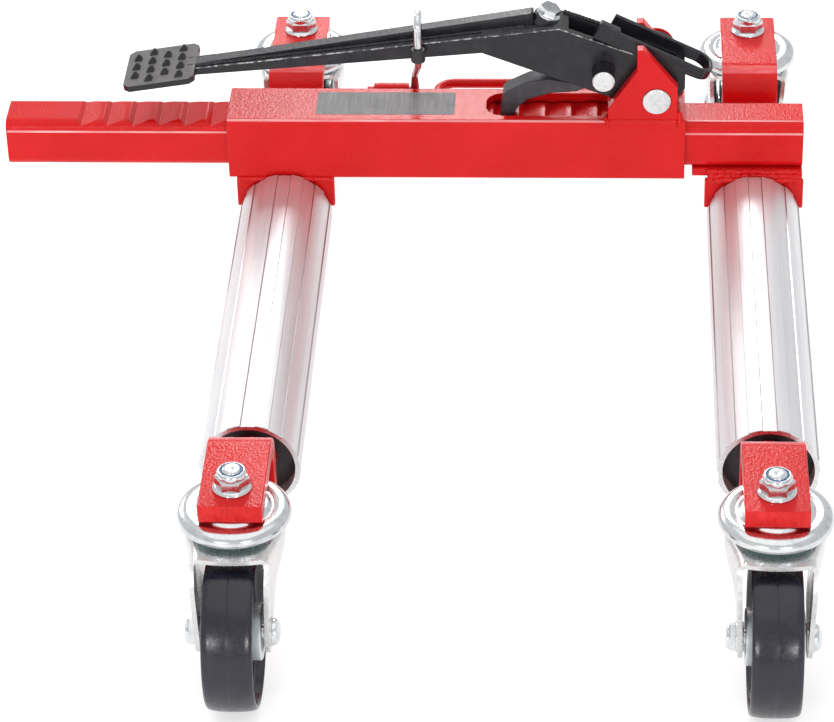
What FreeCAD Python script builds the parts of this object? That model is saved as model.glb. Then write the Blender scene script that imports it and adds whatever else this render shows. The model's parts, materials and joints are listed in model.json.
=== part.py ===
import FreeCAD, Part
import math
import os
import Sketcher

# Vehicle positioning jack: a ratchet slide, two rollers and four swivel casters
# Origin: the middle of the footprint, on the floor; +Z is up and the slide opens along +X

V = FreeCAD.Vector
doc = FreeCAD.newDocument("vehicle_positioning_jack")
sheet = doc.addObject("Spreadsheet::Sheet", "sizes")

# Driving sizes in millimetres, angles in degrees
driving_sizes = [
    ("wheel_diameter", 100), ("wheel_width", 32), ("wheel_side_recess", 2.5), ("wheel_rim_width", 9),
    ("tread_shoulder", 4), ("hub_radius", 16.5), ("hub_flange", 2.5), ("hub_tube_radius", 8),
    ("hub_boss_radius", 15.5), ("axle_bolt_diameter", 10), ("axle_bolt_across", 16), ("axle_bolt_head", 6),
    ("caster_trail", 37), ("crown_gap", 5.5), ("cap_diameter", 72), ("cap_thickness", 3.2),
    ("cap_rim_height", 8), ("cap_rim_width", 7), ("cap_groove", 1.4), ("race_radius", 24),
    ("race_height", 9), ("race_taper", 2.5), ("crown_radius", 31), ("crown_thickness", 3.5),
    ("fork_leg_thickness", 3), ("fork_leg_end_radius", 13), ("fork_leg_width", 50), ("fork_flare", 5),
    ("fork_leg_depth", 32), ("seat_radius", 9.5), ("stem_diameter", 12), ("stem_head_radius", 9.5),
    ("stem_head_height", 6), ("stem_end_bevel", 1), ("nut_flange_radius", 12.5), ("nut_flange_height", 2.5),
    ("nut_across", 19), ("nut_height", 7), ("nut_collar_radius", 9.2), ("nut_collar_height", 4),
    ("stem_span", 578), ("arm_width", 40), ("arm_thickness", 12), ("arm_reach", 69), ("arm_free_end", 20.5),
    ("arm_foot", 22), ("arm_bend_radius", 24),
    ("roller_spacing", 334), ("roller_diameter", 66.4), ("roller_front_gap", 25), ("roller_wall", 3.6),
    ("roller_groove_depth", 0.7), ("roller_gap", 2.5), ("bush_inset", 12), ("bush_length", 12),
    ("axle_height", 80), ("axle_diameter", 22), ("axle_collar_diameter", 34), ("axle_play", 0.5),
    ("tube_setback", 148.5), ("outer_width", 48), ("outer_wall", 5.5), ("outer_length", 324.5),
    ("outer_corner_radius", 3), ("tube_overhang", 40), ("slide_clearance", 0.5), ("inner_length", 567),
    ("inner_wall", 6), ("inner_corner_radius", 7), ("slide_overhang", 34), ("notch_start", 54.5),
    ("notch_pitch", 18.5), ("notch_depth", 3), ("saddle_width", 70), ("saddle_height", 56),
    ("saddle_wall", 5), ("saddle_foot", 5), ("saddle_inset", 8), ("spacer_gap", 5.5),
    ("slot_end_gap", 9.7), ("slot_width", 31), ("notch_lean", 3.2),
    ("slot_corner_radius", 12), ("window_reach", 31), ("window_length", 28), ("window_width", 19),
    ("pivot_inset", 20.5), ("pivot_height", 16.5), ("pin_diameter", 20), ("pin_proud", 1.5),
    ("pin_bevel", 0.8), ("running_clearance", 0.05), ("moving_gap", 0.3),
    ("ear_thickness", 8), ("ear_back", 34), ("ear_front", 14.5), ("ear_step", 10.5), ("ear_neck", 40),
    ("ear_height", 57), ("ear_tip_offset", 14), ("ear_tip_width", 4.5), ("ear_shoulder", 27),
    ("spring_room", 32), ("spring_wire", 3.2), ("spring_clearance", 1), ("collar_radius", 15.5),
    ("collar_width", 4), ("lever_head_length", 123), ("lever_head_height", 48), ("lever_width", 28),
    ("lever_slot_width", 17), ("lever_slot_back", 62), ("lever_slot_front", 13.6),
    ("arm_length", 336), ("arm_root_width", 27), ("arm_end_width", 16), ("arm_root_bottom", 33),
    ("arm_root_flange", 12.5), ("arm_end_bottom", 10.3), ("arm_end_flange", 5), ("rib_width", 9),
    ("rib_root_height", 13.7), ("rib_end_height", 1.5), ("arm_lap", 6), ("rib_gap", 2.9),
    ("foot_pad_length", 51), ("foot_pad_width", 51), ("foot_pad_thickness", 6),
    ("foot_pad_corner", 4), ("foot_pad_tilt", 9),
    ("stud_size", 6.5), ("stud_height", 3.5), ("stud_taper", 32),
    ("bolt_gap", 14.6), ("crest_gap", 7.7), ("lever_chin", 3), ("bolt_boss_radius", 9.5),
    ("bolt_boss_height", 3), ("bolt_across", 13),
    ("bolt_head_height", 6), ("bolt_washer_radius", 8.5), ("bolt_washer_height", 1.8),
    ("bolt_shank_diameter", 8), ("bolt_shank_length", 14),
    ("strap_thickness", 3), ("strap_height", 7), ("strap_wide", 27.5), ("strap_back", 32.5),
    ("strap_reach", 36), ("strap_bend", 12), ("strap_lean", 5.5), ("strap_lug_length", 12),
    ("strap_lug_width", 6.5), ("strap_lug_height", 10),
    ("lever_incline", 21), ("heel_reach", 19.9), ("heel_height", 18.3),
    ("pawl_pin_back", 37.3), ("pawl_pin_up", 18.5), ("pawl_pin_diameter", 16), ("pawl_pin_front", 30),
    ("pawl_pin_behind", 16), ("pawl_width", 16), ("pawl_boss_radius", 11.5), ("pawl_reach", 73),
    ("pawl_hover", 0.4), ("holding_boss_radius", 13), ("holding_reach", 24), ("holding_nose", 7),
    ("holding_width", 14),
    ("handle_rod_diameter", 7), ("handle_length", 107), ("handle_reach", 36), ("handle_offset", 147),
    ("handle_rise", 6.5), ("handle_bend", 12), ("keeper_rod_diameter", 6), ("keeper_bend", 8),
    ("keeper_offset", 137.2), ("keeper_setback", 5.7), ("keeper_hinge_drop", 6), ("keeper_barrel_length", 25),
    ("keeper_barrel_radius", 5.5), ("keeper_barrel_gap", 10), ("keeper_cross_rise", 30), ("keeper_front", 20),
    ("keeper_hook_rise", 84), ("keeper_tip", 9), ("keeper_tail", 5), ("sleeve_radius", 4.6),
    ("sleeve_length", 9), ("sleeve_rise", 52.5),
]
for row, (name, number) in enumerate(driving_sizes, 1):
    sheet.set("A%d" % row, str(number))
    sheet.setAlias("A%d" % row, name)
doc.recompute()

# Counts
notch_count = 23
roller_groove_count = 11
spring_turns = 6
stud_rows = [3, 4, 3, 4]

# Positions shared by several parts, as expressions of the sheet
RIGHT = "((sizes.inner_length - sizes.slide_overhang - sizes.cap_diameter / 2) / 2)"
LEFT = "(%s - sizes.roller_spacing)" % RIGHT
STEM = "(sizes.stem_span / 2)"
TUBE_Y = "(sizes.stem_span / 2 - sizes.tube_setback)"
TUBE_Z = "(sizes.axle_height + sizes.saddle_height / 2 + sizes.outer_width / 2)"
TUBE_FRONT = "(%s - sizes.outer_width / 2)" % TUBE_Y
TUBE_TOP = "(%s + sizes.outer_width / 2)" % TUBE_Z
INNER_WIDTH = "(sizes.outer_width - 2 * sizes.outer_wall - 2 * sizes.slide_clearance)"
LEG_FACE = "(sizes.stem_span / 2 - sizes.arm_reach)"
PIVOT_X = "(%s - sizes.tube_overhang + sizes.outer_length - sizes.pivot_inset)" % LEFT
PIVOT_Z = "(%s + sizes.pivot_height)" % TUBE_TOP
ROLLER_BACK = "(%s - sizes.roller_gap)" % TUBE_FRONT
ROLLER_FRONT = "(sizes.roller_front_gap - %s)" % LEG_FACE
ROLLER_LENGTH = "(%s - %s)" % (ROLLER_BACK, ROLLER_FRONT)
CROWN_TOP = "(sizes.wheel_diameter + sizes.crown_gap + sizes.crown_thickness)"
CASTER_TOP = "(%s + sizes.moving_gap + sizes.race_height + sizes.cap_thickness)" % CROWN_TOP
LAND_DROP = "(sizes.pivot_height + sizes.outer_wall + sizes.slide_clearance)"
SEAT_RISE = "(sizes.seat_radius * 1.2 * tan(sizes.fork_flare * 1 deg))"


def number_of(text):
    result = sheet.evalExpression(text)
    return float(getattr(result, "Value", result))


def new_body(name):
    body = doc.addObject("PartDesign::Body", name)
    body.Label = name
    return body


def place(thing, x, y, z):
    for axis, text in (("x", x), ("y", y), ("z", z)):
        thing.setExpression("Placement.Base." + axis, text)


def sketch_on(body, role, offset="0", turn=None):
    sketch = body.newObject("Sketcher::SketchObject", body.Name + "_sketch")
    support = [item for item in body.Origin.OriginFeatures if item.Role == role][0]
    sketch.AttachmentSupport = (support, [""])
    sketch.MapMode = "FlatFace"
    if turn:
        sketch.AttachmentOffset = FreeCAD.Placement(V(0, 0, 0), turn)
    sketch.setExpression("AttachmentOffset.Base.z", offset)
    return sketch


def pin_point(sketch, line, end, x, y):
    for kind, text in (("DistanceX", x), ("DistanceY", y)):
        spot = sketch.addConstraint(Sketcher.Constraint(kind, -1, 1, line, end, number_of(text)))
        sketch.setExpression("Constraints[%d]" % spot, text)


def outline(sketch, points):
    spots = [V(number_of(x), number_of(y), 0) for x, y in points]
    lines = []
    for index, spot in enumerate(spots):
        following = spots[(index + 1) % len(spots)]
        lines.append(sketch.addGeometry(Part.LineSegment(spot, following), False))
    for index, line in enumerate(lines):
        following = lines[(index + 1) % len(lines)]
        sketch.addConstraint(Sketcher.Constraint("Coincident", line, 2, following, 1))
    for line, (x, y) in zip(lines, points):
        pin_point(sketch, line, 1, x, y)


def rectangle(sketch, x0, y0, x1, y1):
    outline(sketch, [(x0, y0), (x1, y0), (x1, y1), (x0, y1)])


def ring(sketch, x, y, radius):
    centre = V(number_of(x), number_of(y), 0)
    curve = sketch.addGeometry(Part.Circle(centre, V(0, 0, 1), number_of(radius)), False)
    pin_point(sketch, curve, 3, x, y)
    spot = sketch.addConstraint(Sketcher.Constraint("Radius", curve, number_of(radius)))
    sketch.setExpression("Constraints[%d]" % spot, radius)


def pad(body, sketch, length, both=False, back=False, taper=None):
    feature = body.newObject("PartDesign::Pad", body.Name + "_pad")
    feature.Profile = sketch
    feature.Midplane = both
    feature.Reversed = back
    feature.setExpression("Length", length)
    if taper:
        feature.setExpression("TaperAngle", "-" + taper)
    doc.recompute()
    return feature


def pocket(body, sketch, length, both=False, back=False):
    feature = body.newObject("PartDesign::Pocket", body.Name + "_pocket")
    feature.Profile = sketch
    feature.Midplane = both
    feature.Reversed = back
    feature.setExpression("Length", length)
    doc.recompute()
    return feature


def soften(body, feature, radius, axis, spots):
    # Rounds the edges that run along the axis through the given spots
    reach = number_of("sizes.outer_width") * 1e-5
    names = []
    for index, edge in enumerate(feature.Shape.Edges, 1):
        start = edge.Vertexes[0].Point
        run = edge.Vertexes[-1].Point - start
        if run.Length < reach or run.cross(axis).Length > reach:
            continue
        for spot in spots:
            away = start - spot
            if (away - axis * away.dot(axis)).Length < reach:
                names.append("Edge%d" % index)
    fillet = body.newObject("PartDesign::Fillet", body.Name + "_fillet")
    fillet.Base = (feature, names)
    fillet.setExpression("Radius", radius)
    doc.recompute()
    return fillet


def turned(name, profile, role, line, hex_pads=()):
    # A body of revolution about the horizontal or upright line of its sketch
    body = new_body(name)
    sketch = sketch_on(body, role)
    outline(sketch, profile)
    turn = body.newObject("PartDesign::Revolution", name + "_turn")
    turn.Profile = sketch
    turn.ReferenceAxis = (sketch, [line])
    doc.recompute()
    for offset, across, height, back in hex_pads:
        hexagon = sketch_on(body, "XY_Plane" if line == "V_Axis" else "YZ_Plane", offset)
        outline(hexagon, [("%s * %.9f" % (across, x), "%s * %.9f" % (across, y)) for x, y in hexagon_shares])
        pad(body, hexagon, height, back=back)
    return body


def gather(name, pieces):
    group = doc.addObject("Part::Compound", name)
    group.Label = name
    group.Links = pieces
    return group


hexagon_shares = []
for corner in range(6):
    angle = math.radians(60 * corner)
    hexagon_shares.append((math.cos(angle) / math.sqrt(3), math.sin(angle) / math.sqrt(3)))
X, Y, Z = V(1, 0, 0), V(0, 1, 0), V(0, 0, 1)
exports = []

# Outer tube with the pawl slot and the window for the holding pawl
outer = new_body("outer_tube")
half, bore = "sizes.outer_width / 2", "(sizes.outer_width / 2 - sizes.outer_wall)"
section = sketch_on(outer, "YZ_Plane")
rectangle(section, "-" + half, "-" + half, half, half)
rectangle(section, "-" + bore, "-" + bore, bore, bore)
walls = pad(outer, section, "sizes.outer_length")
h = number_of(half)
walls = soften(outer, walls, "sizes.outer_corner_radius", X, [V(0, a, b) for a in (-h, h) for b in (-h, h)])
cut = sketch_on(outer, "XY_Plane", half)
pivot_run = "(sizes.outer_length - sizes.pivot_inset)"
slot_left = "(%s - sizes.pawl_pin_back - sizes.pawl_reach - sizes.slot_end_gap)" % pivot_run
slot_right = "(%s - sizes.ear_back)" % pivot_run
rectangle(cut, slot_left, "-sizes.slot_width / 2", slot_right, "sizes.slot_width / 2")
slot = pocket(outer, cut, half)
w = number_of("sizes.slot_width / 2")
ends = [V(number_of(slot_left), side, 0) for side in (-w, w)]
soften(outer, slot, "sizes.slot_corner_radius", Z, ends)
cut = sketch_on(outer, "XY_Plane", half)
window_left = "(%s - sizes.window_reach)" % pivot_run
rectangle(cut, window_left, "-sizes.window_width / 2",
          window_left + " + sizes.window_length", "sizes.window_width / 2")
pocket(outer, cut, half)
place(outer, LEFT + " - sizes.tube_overhang", TUBE_Y, TUBE_Z)
exports.append(outer)

# Inner tube with its ratchet notches
inner = new_body("inner_tube")
half = INNER_WIDTH + " / 2"
bore = "(%s / 2 - sizes.inner_wall)" % INNER_WIDTH
section = sketch_on(inner, "YZ_Plane")
rectangle(section, "-" + half, "-" + half, half, half)
rectangle(section, "-" + bore, "-" + bore, bore, bore)
walls = pad(inner, section, "sizes.inner_length")
h = number_of(half)
soften(inner, walls, "sizes.inner_corner_radius", X, [V(0, a, b) for a in (-h, h) for b in (-h, h)])
notch_ramp_share = 0.62
notch = sketch_on(inner, "XZ_Plane")
outline(notch, [("sizes.notch_start - sizes.notch_lean", half),
                ("sizes.notch_start", half + " - sizes.notch_depth"),
                ("sizes.notch_start + sizes.notch_pitch * %s" % notch_ramp_share, half)])
first_notch = pocket(inner, notch, "sizes.outer_width", both=True)
rack = inner.newObject("PartDesign::LinearPattern", "rack_notches")
rack.Originals = [first_notch]
x_axis = [item for item in inner.Origin.OriginFeatures if item.Role == "X_Axis"][0]
rack.Direction = (x_axis, [""])
rack.Occurrences = notch_count
rack.setExpression("Length", "sizes.notch_pitch * %d" % (notch_count - 1))
inner.Tip = rack
place(inner, RIGHT + " + sizes.slide_overhang - sizes.inner_length", TUBE_Y, TUBE_Z)
exports.append(inner)

# The ears that carry the main pin
for name, side in (("front_ear", -1), ("rear_ear", 1)):
    ear = new_body(name)
    face = sketch_on(ear, "XZ_Plane")
    foot = "-sizes.pivot_height"
    outline(face, [("-sizes.ear_back", foot), ("sizes.ear_front", foot),
                   ("sizes.ear_front", foot + " + sizes.ear_shoulder"),
                   ("-sizes.ear_tip_offset + sizes.ear_tip_width", foot + " + sizes.ear_height"),
                   ("-sizes.ear_tip_offset", foot + " + sizes.ear_height"),
                   ("-sizes.ear_tip_offset", foot + " + sizes.ear_neck"),
                   ("-sizes.ear_back", foot + " + sizes.ear_step")])
    ring(face, "0", "0", "sizes.pin_diameter / 2 + sizes.running_clearance")
    pad(ear, face, "sizes.ear_thickness", both=True)
    middle = "(sizes.outer_width / 2 - sizes.ear_thickness / 2)"
    place(ear, PIVOT_X, "%s + %d * %s" % (TUBE_Y, side, middle), PIVOT_Z)
    exports.append(ear)

# Main pin, its return spring and the collar that holds the spring
front = "(-sizes.outer_width / 2 - sizes.pin_proud)"
back = "(sizes.outer_width / 2 + sizes.spring_room + sizes.collar_width)"
radius = "sizes.pin_diameter / 2"
pin = turned("main_pin", [(front, "0"), (front, radius + " - sizes.pin_bevel"),
                          (front + " + sizes.pin_bevel", radius), (back, radius), (back, "0")],
             "YZ_Plane", "H_Axis")
place(pin, PIVOT_X, TUBE_Y, PIVOT_Z)
exports.append(pin)
near, far = "(%s - sizes.collar_width)" % back, back
bore = radius + " + sizes.running_clearance"
collar = turned("spring_collar", [(near, bore), (near, "sizes.collar_radius"),
                                  (far, "sizes.collar_radius"), (far, bore)], "YZ_Plane", "H_Axis")
place(collar, PIVOT_X, TUBE_Y, PIVOT_Z)
exports.append(collar)


def biarc(p0, t0, p1, t1):
    # Two arcs that leave p0 along t0, meet smoothly and reach p1 along t1
    v = p1 - p0
    a = 2 * (1 - t0.dot(t1))
    b = 2 * v.dot(t0 + t1)
    d = (-b + math.sqrt(b * b + 4 * a * v.dot(v))) / (2 * a)
    corner0, corner1 = p0 + t0 * d, p1 - t1 * d
    joint = (corner0 + corner1) * 0.5
    arcs = []
    for start, corner, end in ((p0, corner0, joint), (joint, corner1, p1)):
        side, chord = corner - start, end - start
        weight = side.dot(chord) / (side.Length * chord.Length)
        mid = (start + corner * (2 * weight) + end) * (1 / (2 + 2 * weight))
        arcs.append(Part.Arc(start, mid, end).toShape())
    return arcs


wire = number_of("sizes.spring_wire")
coil_radius = number_of("sizes.pin_diameter / 2 + sizes.spring_clearance + sizes.spring_wire / 2")
coil_start = number_of("sizes.outer_width / 2 + sizes.moving_gap + sizes.spring_wire / 2")
coil_rise = number_of("sizes.spring_room - sizes.spring_wire - 2 * sizes.moving_gap") / spring_turns
coil_points, coil_tangents = [], []
for quarter in range(4 * spring_turns + 1):
    angle = math.pi / 2 * quarter
    coil_points.append(V(coil_radius * math.cos(angle), coil_start + coil_rise * quarter / 4,
                         coil_radius * math.sin(angle)))
    tangent = V(-coil_radius * math.sin(angle), coil_rise / (2 * math.pi), coil_radius * math.cos(angle))
    coil_tangents.append(tangent.normalize())
tail, head = coil_points[0] - coil_tangents[0] * wire, coil_points[-1] + coil_tangents[-1] * wire
coil_edges = [Part.LineSegment(tail, coil_points[0]).toShape()]
for quarter in range(4 * spring_turns):
    coil_edges += biarc(coil_points[quarter], coil_tangents[quarter],
                        coil_points[quarter + 1], coil_tangents[quarter + 1])
coil_edges.append(Part.LineSegment(coil_points[-1], head).toShape())
wire_section = Part.Wire(Part.Circle(tail, coil_tangents[0], wire / 2).toShape())
coil_gap = coil_rise * math.cos(math.atan2(coil_rise, 2 * math.pi * coil_radius)) - wire
print("spring gap to itself %.3f mm" % coil_gap)
spring = doc.addObject("Part::Feature", "return_spring")
spring.Label = "return_spring"
sweep = Part.BRepOffsetAPI.MakePipeShell(Part.Wire(coil_edges))
sweep.add(wire_section)
sweep.build()
sweep.makeSolid()
spring.Shape = sweep.shape()
place(spring, PIVOT_X, TUBE_Y, PIVOT_Z)
exports.append(spring)

# Saddles, axles, rollers and bushes on both sides
for side, centre in (("left", LEFT), ("right", RIGHT)):
    saddle = new_body(side + "_saddle")
    depth = "(%s - %s)" % (LEG_FACE, TUBE_FRONT)
    rise = "(sizes.saddle_height / 2 - sizes.saddle_foot)"
    box_half = "(sizes.saddle_width / 2 - sizes.saddle_inset)"
    box = sketch_on(saddle, "XY_Plane", "sizes.saddle_foot")
    rectangle(box, "-" + box_half, "0", box_half, depth)
    pad(saddle, box, rise)
    front_plate = sketch_on(saddle, "XY_Plane", "sizes.saddle_foot")
    rectangle(front_plate, "-sizes.saddle_width / 2", "0", "sizes.saddle_width / 2", "sizes.saddle_wall")
    pad(saddle, front_plate, rise)
    hollow = sketch_on(saddle, "XY_Plane", "sizes.saddle_foot")
    rectangle(hollow, "-%s + sizes.saddle_wall" % box_half, "sizes.saddle_wall",
              box_half + " - sizes.saddle_wall", depth + " - sizes.saddle_wall")
    pocket(saddle, hollow, rise + " - sizes.saddle_wall", back=True)
    hole = sketch_on(saddle, "XZ_Plane")
    ring(hole, "0", "0", "sizes.axle_diameter / 2 + sizes.running_clearance")
    pocket(saddle, hole, depth)
    place(saddle, centre, TUBE_FRONT, "sizes.axle_height")
    exports.append(saddle)

    thin, thick = "sizes.axle_diameter / 2", "sizes.axle_collar_diameter / 2"
    front_bush = "(%s + sizes.bush_inset)" % ROLLER_FRONT
    back_bush = "(%s - sizes.bush_inset)" % ROLLER_BACK
    axle = turned(side + "_axle", [("-" + LEG_FACE, "0"), ("-" + LEG_FACE, thick),
                                   (front_bush + " - sizes.axle_play", thick),
                                   (front_bush + " - sizes.axle_play", thin),
                                   (back_bush + " + sizes.axle_play", thin),
                                   (back_bush + " + sizes.axle_play", thick), (TUBE_FRONT, thick),
                                   (TUBE_FRONT, thin), (LEG_FACE, thin), (LEG_FACE, "0")],
                  "YZ_Plane", "H_Axis")
    place(axle, centre, "0", "sizes.axle_height")
    exports.append(axle)

    roller = new_body(side + "_roller")
    end = sketch_on(roller, "XZ_Plane")
    ring(end, "0", "0", "sizes.roller_diameter / 2")
    ring(end, "0", "0", "sizes.roller_diameter / 2 - sizes.roller_wall")
    pad(roller, end, ROLLER_LENGTH)
    groove_share = math.sin(math.pi / roller_groove_count / 2)
    flute = sketch_on(roller, "XZ_Plane")
    wide = "sizes.roller_diameter / 2 * %.9f" % groove_share
    floor_share = math.sqrt(1 - groove_share ** 2)
    floor = "(sizes.roller_diameter / 2 - sizes.roller_groove_depth) * %.9f" % floor_share
    rectangle(flute, "-" + wide, floor, wide, "sizes.roller_diameter / 2")
    first_flute = pocket(roller, flute, ROLLER_LENGTH, back=True)
    flutes = roller.newObject("PartDesign::PolarPattern", side + "_roller_flutes")
    flutes.Originals = [first_flute]
    y_axis = [item for item in roller.Origin.OriginFeatures if item.Role == "Y_Axis"][0]
    flutes.Axis = (y_axis, [""])
    flutes.Angle = 360
    flutes.Occurrences = roller_groove_count
    roller.Tip = flutes
    place(roller, centre, ROLLER_BACK, "sizes.axle_height")
    exports.append(roller)

    inside = "(sizes.roller_diameter / 2 - sizes.roller_wall - sizes.running_clearance)"
    loose = "(sizes.axle_diameter / 2 + sizes.running_clearance)"
    pair = []
    for place_name, start in (("front", front_bush), ("back", back_bush + " - sizes.bush_length")):
        finish = "(%s + sizes.bush_length)" % start
        bush = turned("%s_%s_bush" % (side, place_name),
                      [(start, loose), (start, inside), (finish, inside), (finish, loose)],
                      "YZ_Plane", "H_Axis")
        place(bush, centre, "0", "sizes.axle_height")
        pair.append(bush)
    exports.append(gather(side + "_roller_bushes", pair))

# Spacer between the inner tube and the right saddle
spacer = new_body("right_spacer")
plate = sketch_on(spacer, "XY_Plane", "sizes.saddle_height / 2")
spacer_start = "sizes.outer_length - sizes.tube_overhang - sizes.roller_spacing + sizes.spacer_gap"
rectangle(plate, spacer_start, "-%s / 2" % INNER_WIDTH,
          "sizes.slide_overhang", "%s / 2" % INNER_WIDTH)
pad(spacer, plate, "(sizes.outer_width - %s) / 2" % INNER_WIDTH)
place(spacer, RIGHT, TUBE_Y, "sizes.axle_height")
exports.append(spacer)


def build_arm(name, centre, way):
    # Bent flat bar from the caster stem to the end of the roller axle
    arm = new_body(name)
    profile = sketch_on(arm, "YZ_Plane")
    reach, inside = "sizes.arm_reach * %d" % way, "(sizes.arm_reach - sizes.arm_thickness) * %d" % way
    free = "-sizes.arm_free_end * %d" % way
    foot = "sizes.axle_height - sizes.arm_foot - " + CASTER_TOP
    outline(profile, [(free, "0"), (inside, "0"), (inside, foot), (reach, foot),
                      (reach, "sizes.arm_thickness"), (free, "sizes.arm_thickness")])
    bar = pad(arm, profile, "sizes.arm_width", both=True)
    outer_edge = V(0, number_of(reach), number_of("sizes.arm_thickness"))
    bent = soften(arm, bar, "sizes.arm_bend_radius", X, [outer_edge])
    inner_edge = V(0, number_of(inside), 0)
    soften(arm, bent, "sizes.arm_bend_radius - sizes.arm_thickness", X, [inner_edge])
    hole = sketch_on(arm, "XY_Plane")
    ring(hole, "0", "0", "sizes.stem_diameter / 2 + sizes.running_clearance")
    pocket(arm, hole, "sizes.arm_thickness", back=True)
    place(arm, centre, "-%d * %s" % (way, STEM), CASTER_TOP)
    exports.append(arm)


def build_caster(name, centre, way):
    # The fixed cap and race, the swivelling fork with its axle bolt, and the wheel on its hub
    stem_y = "%d * %s" % (way, STEM)
    snug = "(sizes.stem_diameter / 2 + sizes.running_clearance)"
    rim = "sizes.cap_diameter / 2"
    flat, groove = "(%s - sizes.cap_rim_width)" % rim, "(%s - sizes.cap_rim_width + sizes.cap_groove)" % rim
    under = "-sizes.cap_thickness"
    cap = turned(name + "_cap", [(snug, "0"), (flat + " - sizes.cap_groove", "0"),
                                 (flat, "-sizes.cap_groove"), (groove, "0"),
                                 (rim + " - sizes.cap_groove", "0"), (rim, "-sizes.cap_groove"),
                                 (rim, "-sizes.cap_rim_height"),
                                 (rim + " - sizes.cap_groove * 2", "-sizes.cap_rim_height"),
                                 (rim + " - sizes.cap_groove * 2", under), (snug, under)],
                 "XZ_Plane", "V_Axis")
    place(cap, centre, stem_y, CASTER_TOP)
    low = "(%s - sizes.race_height)" % under
    race = turned(name + "_race", [(snug, under), ("sizes.race_radius", under),
                                   ("sizes.race_radius", low + " + sizes.race_taper"),
                                   ("sizes.race_radius - sizes.race_taper", low), (snug, low)],
                  "XZ_Plane", "V_Axis")
    place(race, centre, stem_y, CASTER_TOP)

    fork = new_body(name + "_fork")
    crown = sketch_on(fork, "XY_Plane", CROWN_TOP + " - sizes.crown_thickness")
    ring(crown, "0", "0", "sizes.crown_radius")
    ring(crown, "0", "0", snug)
    pad(fork, crown, "sizes.crown_thickness")
    wheel_y = "%d * sizes.caster_trail" % way
    half_wheel = "(sizes.wheel_width / 2 + sizes.hub_flange + 2 * sizes.moving_gap)"
    tangent_shares = [(-0.66, -0.62), (0.9, 0.2)]
    axle_z = "sizes.wheel_diameter / 2"
    leg_top = "(%s + (%s - %s) * tan(sizes.fork_flare * 1 deg))" % (half_wheel, CROWN_TOP, axle_z)
    front_run = "%d * (sizes.caster_trail + sizes.fork_leg_end_radius)" % way
    tongue_shares = [(1, 0.3), (1, 0.9), (0.6, 0.965), (0.2, 0.995)]
    tongue_half = [("%s * %s" % (leg_top, a), "%s * %s" % (front_run, b)) for a, b in tongue_shares]
    tongue = sketch_on(fork, "XY_Plane", CROWN_TOP + " - sizes.crown_thickness")
    outline(tongue, tongue_half + [("-" + x, y) for x, y in reversed(tongue_half)])
    pad(fork, tongue, "sizes.crown_thickness")
    lower = [("%d * sizes.fork_leg_end_radius * %s" % (way, a),
              "%s + sizes.fork_leg_end_radius * %s" % (axle_z, b)) for a, b in tangent_shares]
    back_edge = "%d * (-sizes.fork_leg_width / 2 - sizes.caster_trail)" % way
    front_edge = "%d * sizes.fork_leg_end_radius * %s" % (way, tangent_shares[1][0])
    for hand in (1, -1):
        turn = FreeCAD.Rotation(Y, way * hand * number_of("sizes.fork_flare"))
        lean = "%d * (%s + %s)" % (hand, half_wheel, SEAT_RISE)
        for leg in range(2):
            blade = sketch_on(fork, "YZ_Plane", lean, turn)
            blade.setExpression("AttachmentOffset.Base.x", wheel_y)
            if leg:
                ring(blade, "0", axle_z, "sizes.fork_leg_end_radius")
            else:
                outline(blade, [(back_edge, CROWN_TOP), (back_edge, CROWN_TOP + " - sizes.fork_leg_depth"),
                                lower[0], lower[1], (front_edge, CROWN_TOP)])
            pad(fork, blade, "sizes.fork_leg_thickness", back=hand < 0)
        boss = sketch_on(fork, "YZ_Plane", "%d * %s" % (hand, half_wheel))
        ring(boss, wheel_y, axle_z, "sizes.seat_radius")
        pad(fork, boss, "sizes.fork_leg_thickness + 2 * " + SEAT_RISE, back=hand < 0)
    bolt_hole = sketch_on(fork, "YZ_Plane")
    ring(bolt_hole, wheel_y, axle_z, "sizes.axle_bolt_diameter / 2 + sizes.running_clearance")
    pocket(fork, bolt_hole, "4 * " + half_wheel, both=True)
    place(fork, centre, stem_y, "0")

    shoulder = "(%s + sizes.fork_leg_thickness + 2 * %s)" % (half_wheel, SEAT_RISE)
    shank = "sizes.axle_bolt_diameter / 2"
    nut_run = "sizes.axle_bolt_head - sizes.stem_end_bevel"
    bolt = turned(name + "_axle_bolt", [("-" + shoulder + " - sizes.axle_bolt_head", "0"),
                                        ("-" + shoulder + " - sizes.axle_bolt_head", shank),
                                        (shoulder, shank), (shoulder, "0")], "XZ_Plane", "H_Axis",
                  [(shoulder, "sizes.axle_bolt_across", "sizes.axle_bolt_head", False),
                   ("-" + shoulder, "sizes.axle_bolt_across", nut_run, True)])
    place(bolt, centre, "%s + %s" % (stem_y, wheel_y), axle_z)

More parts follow.
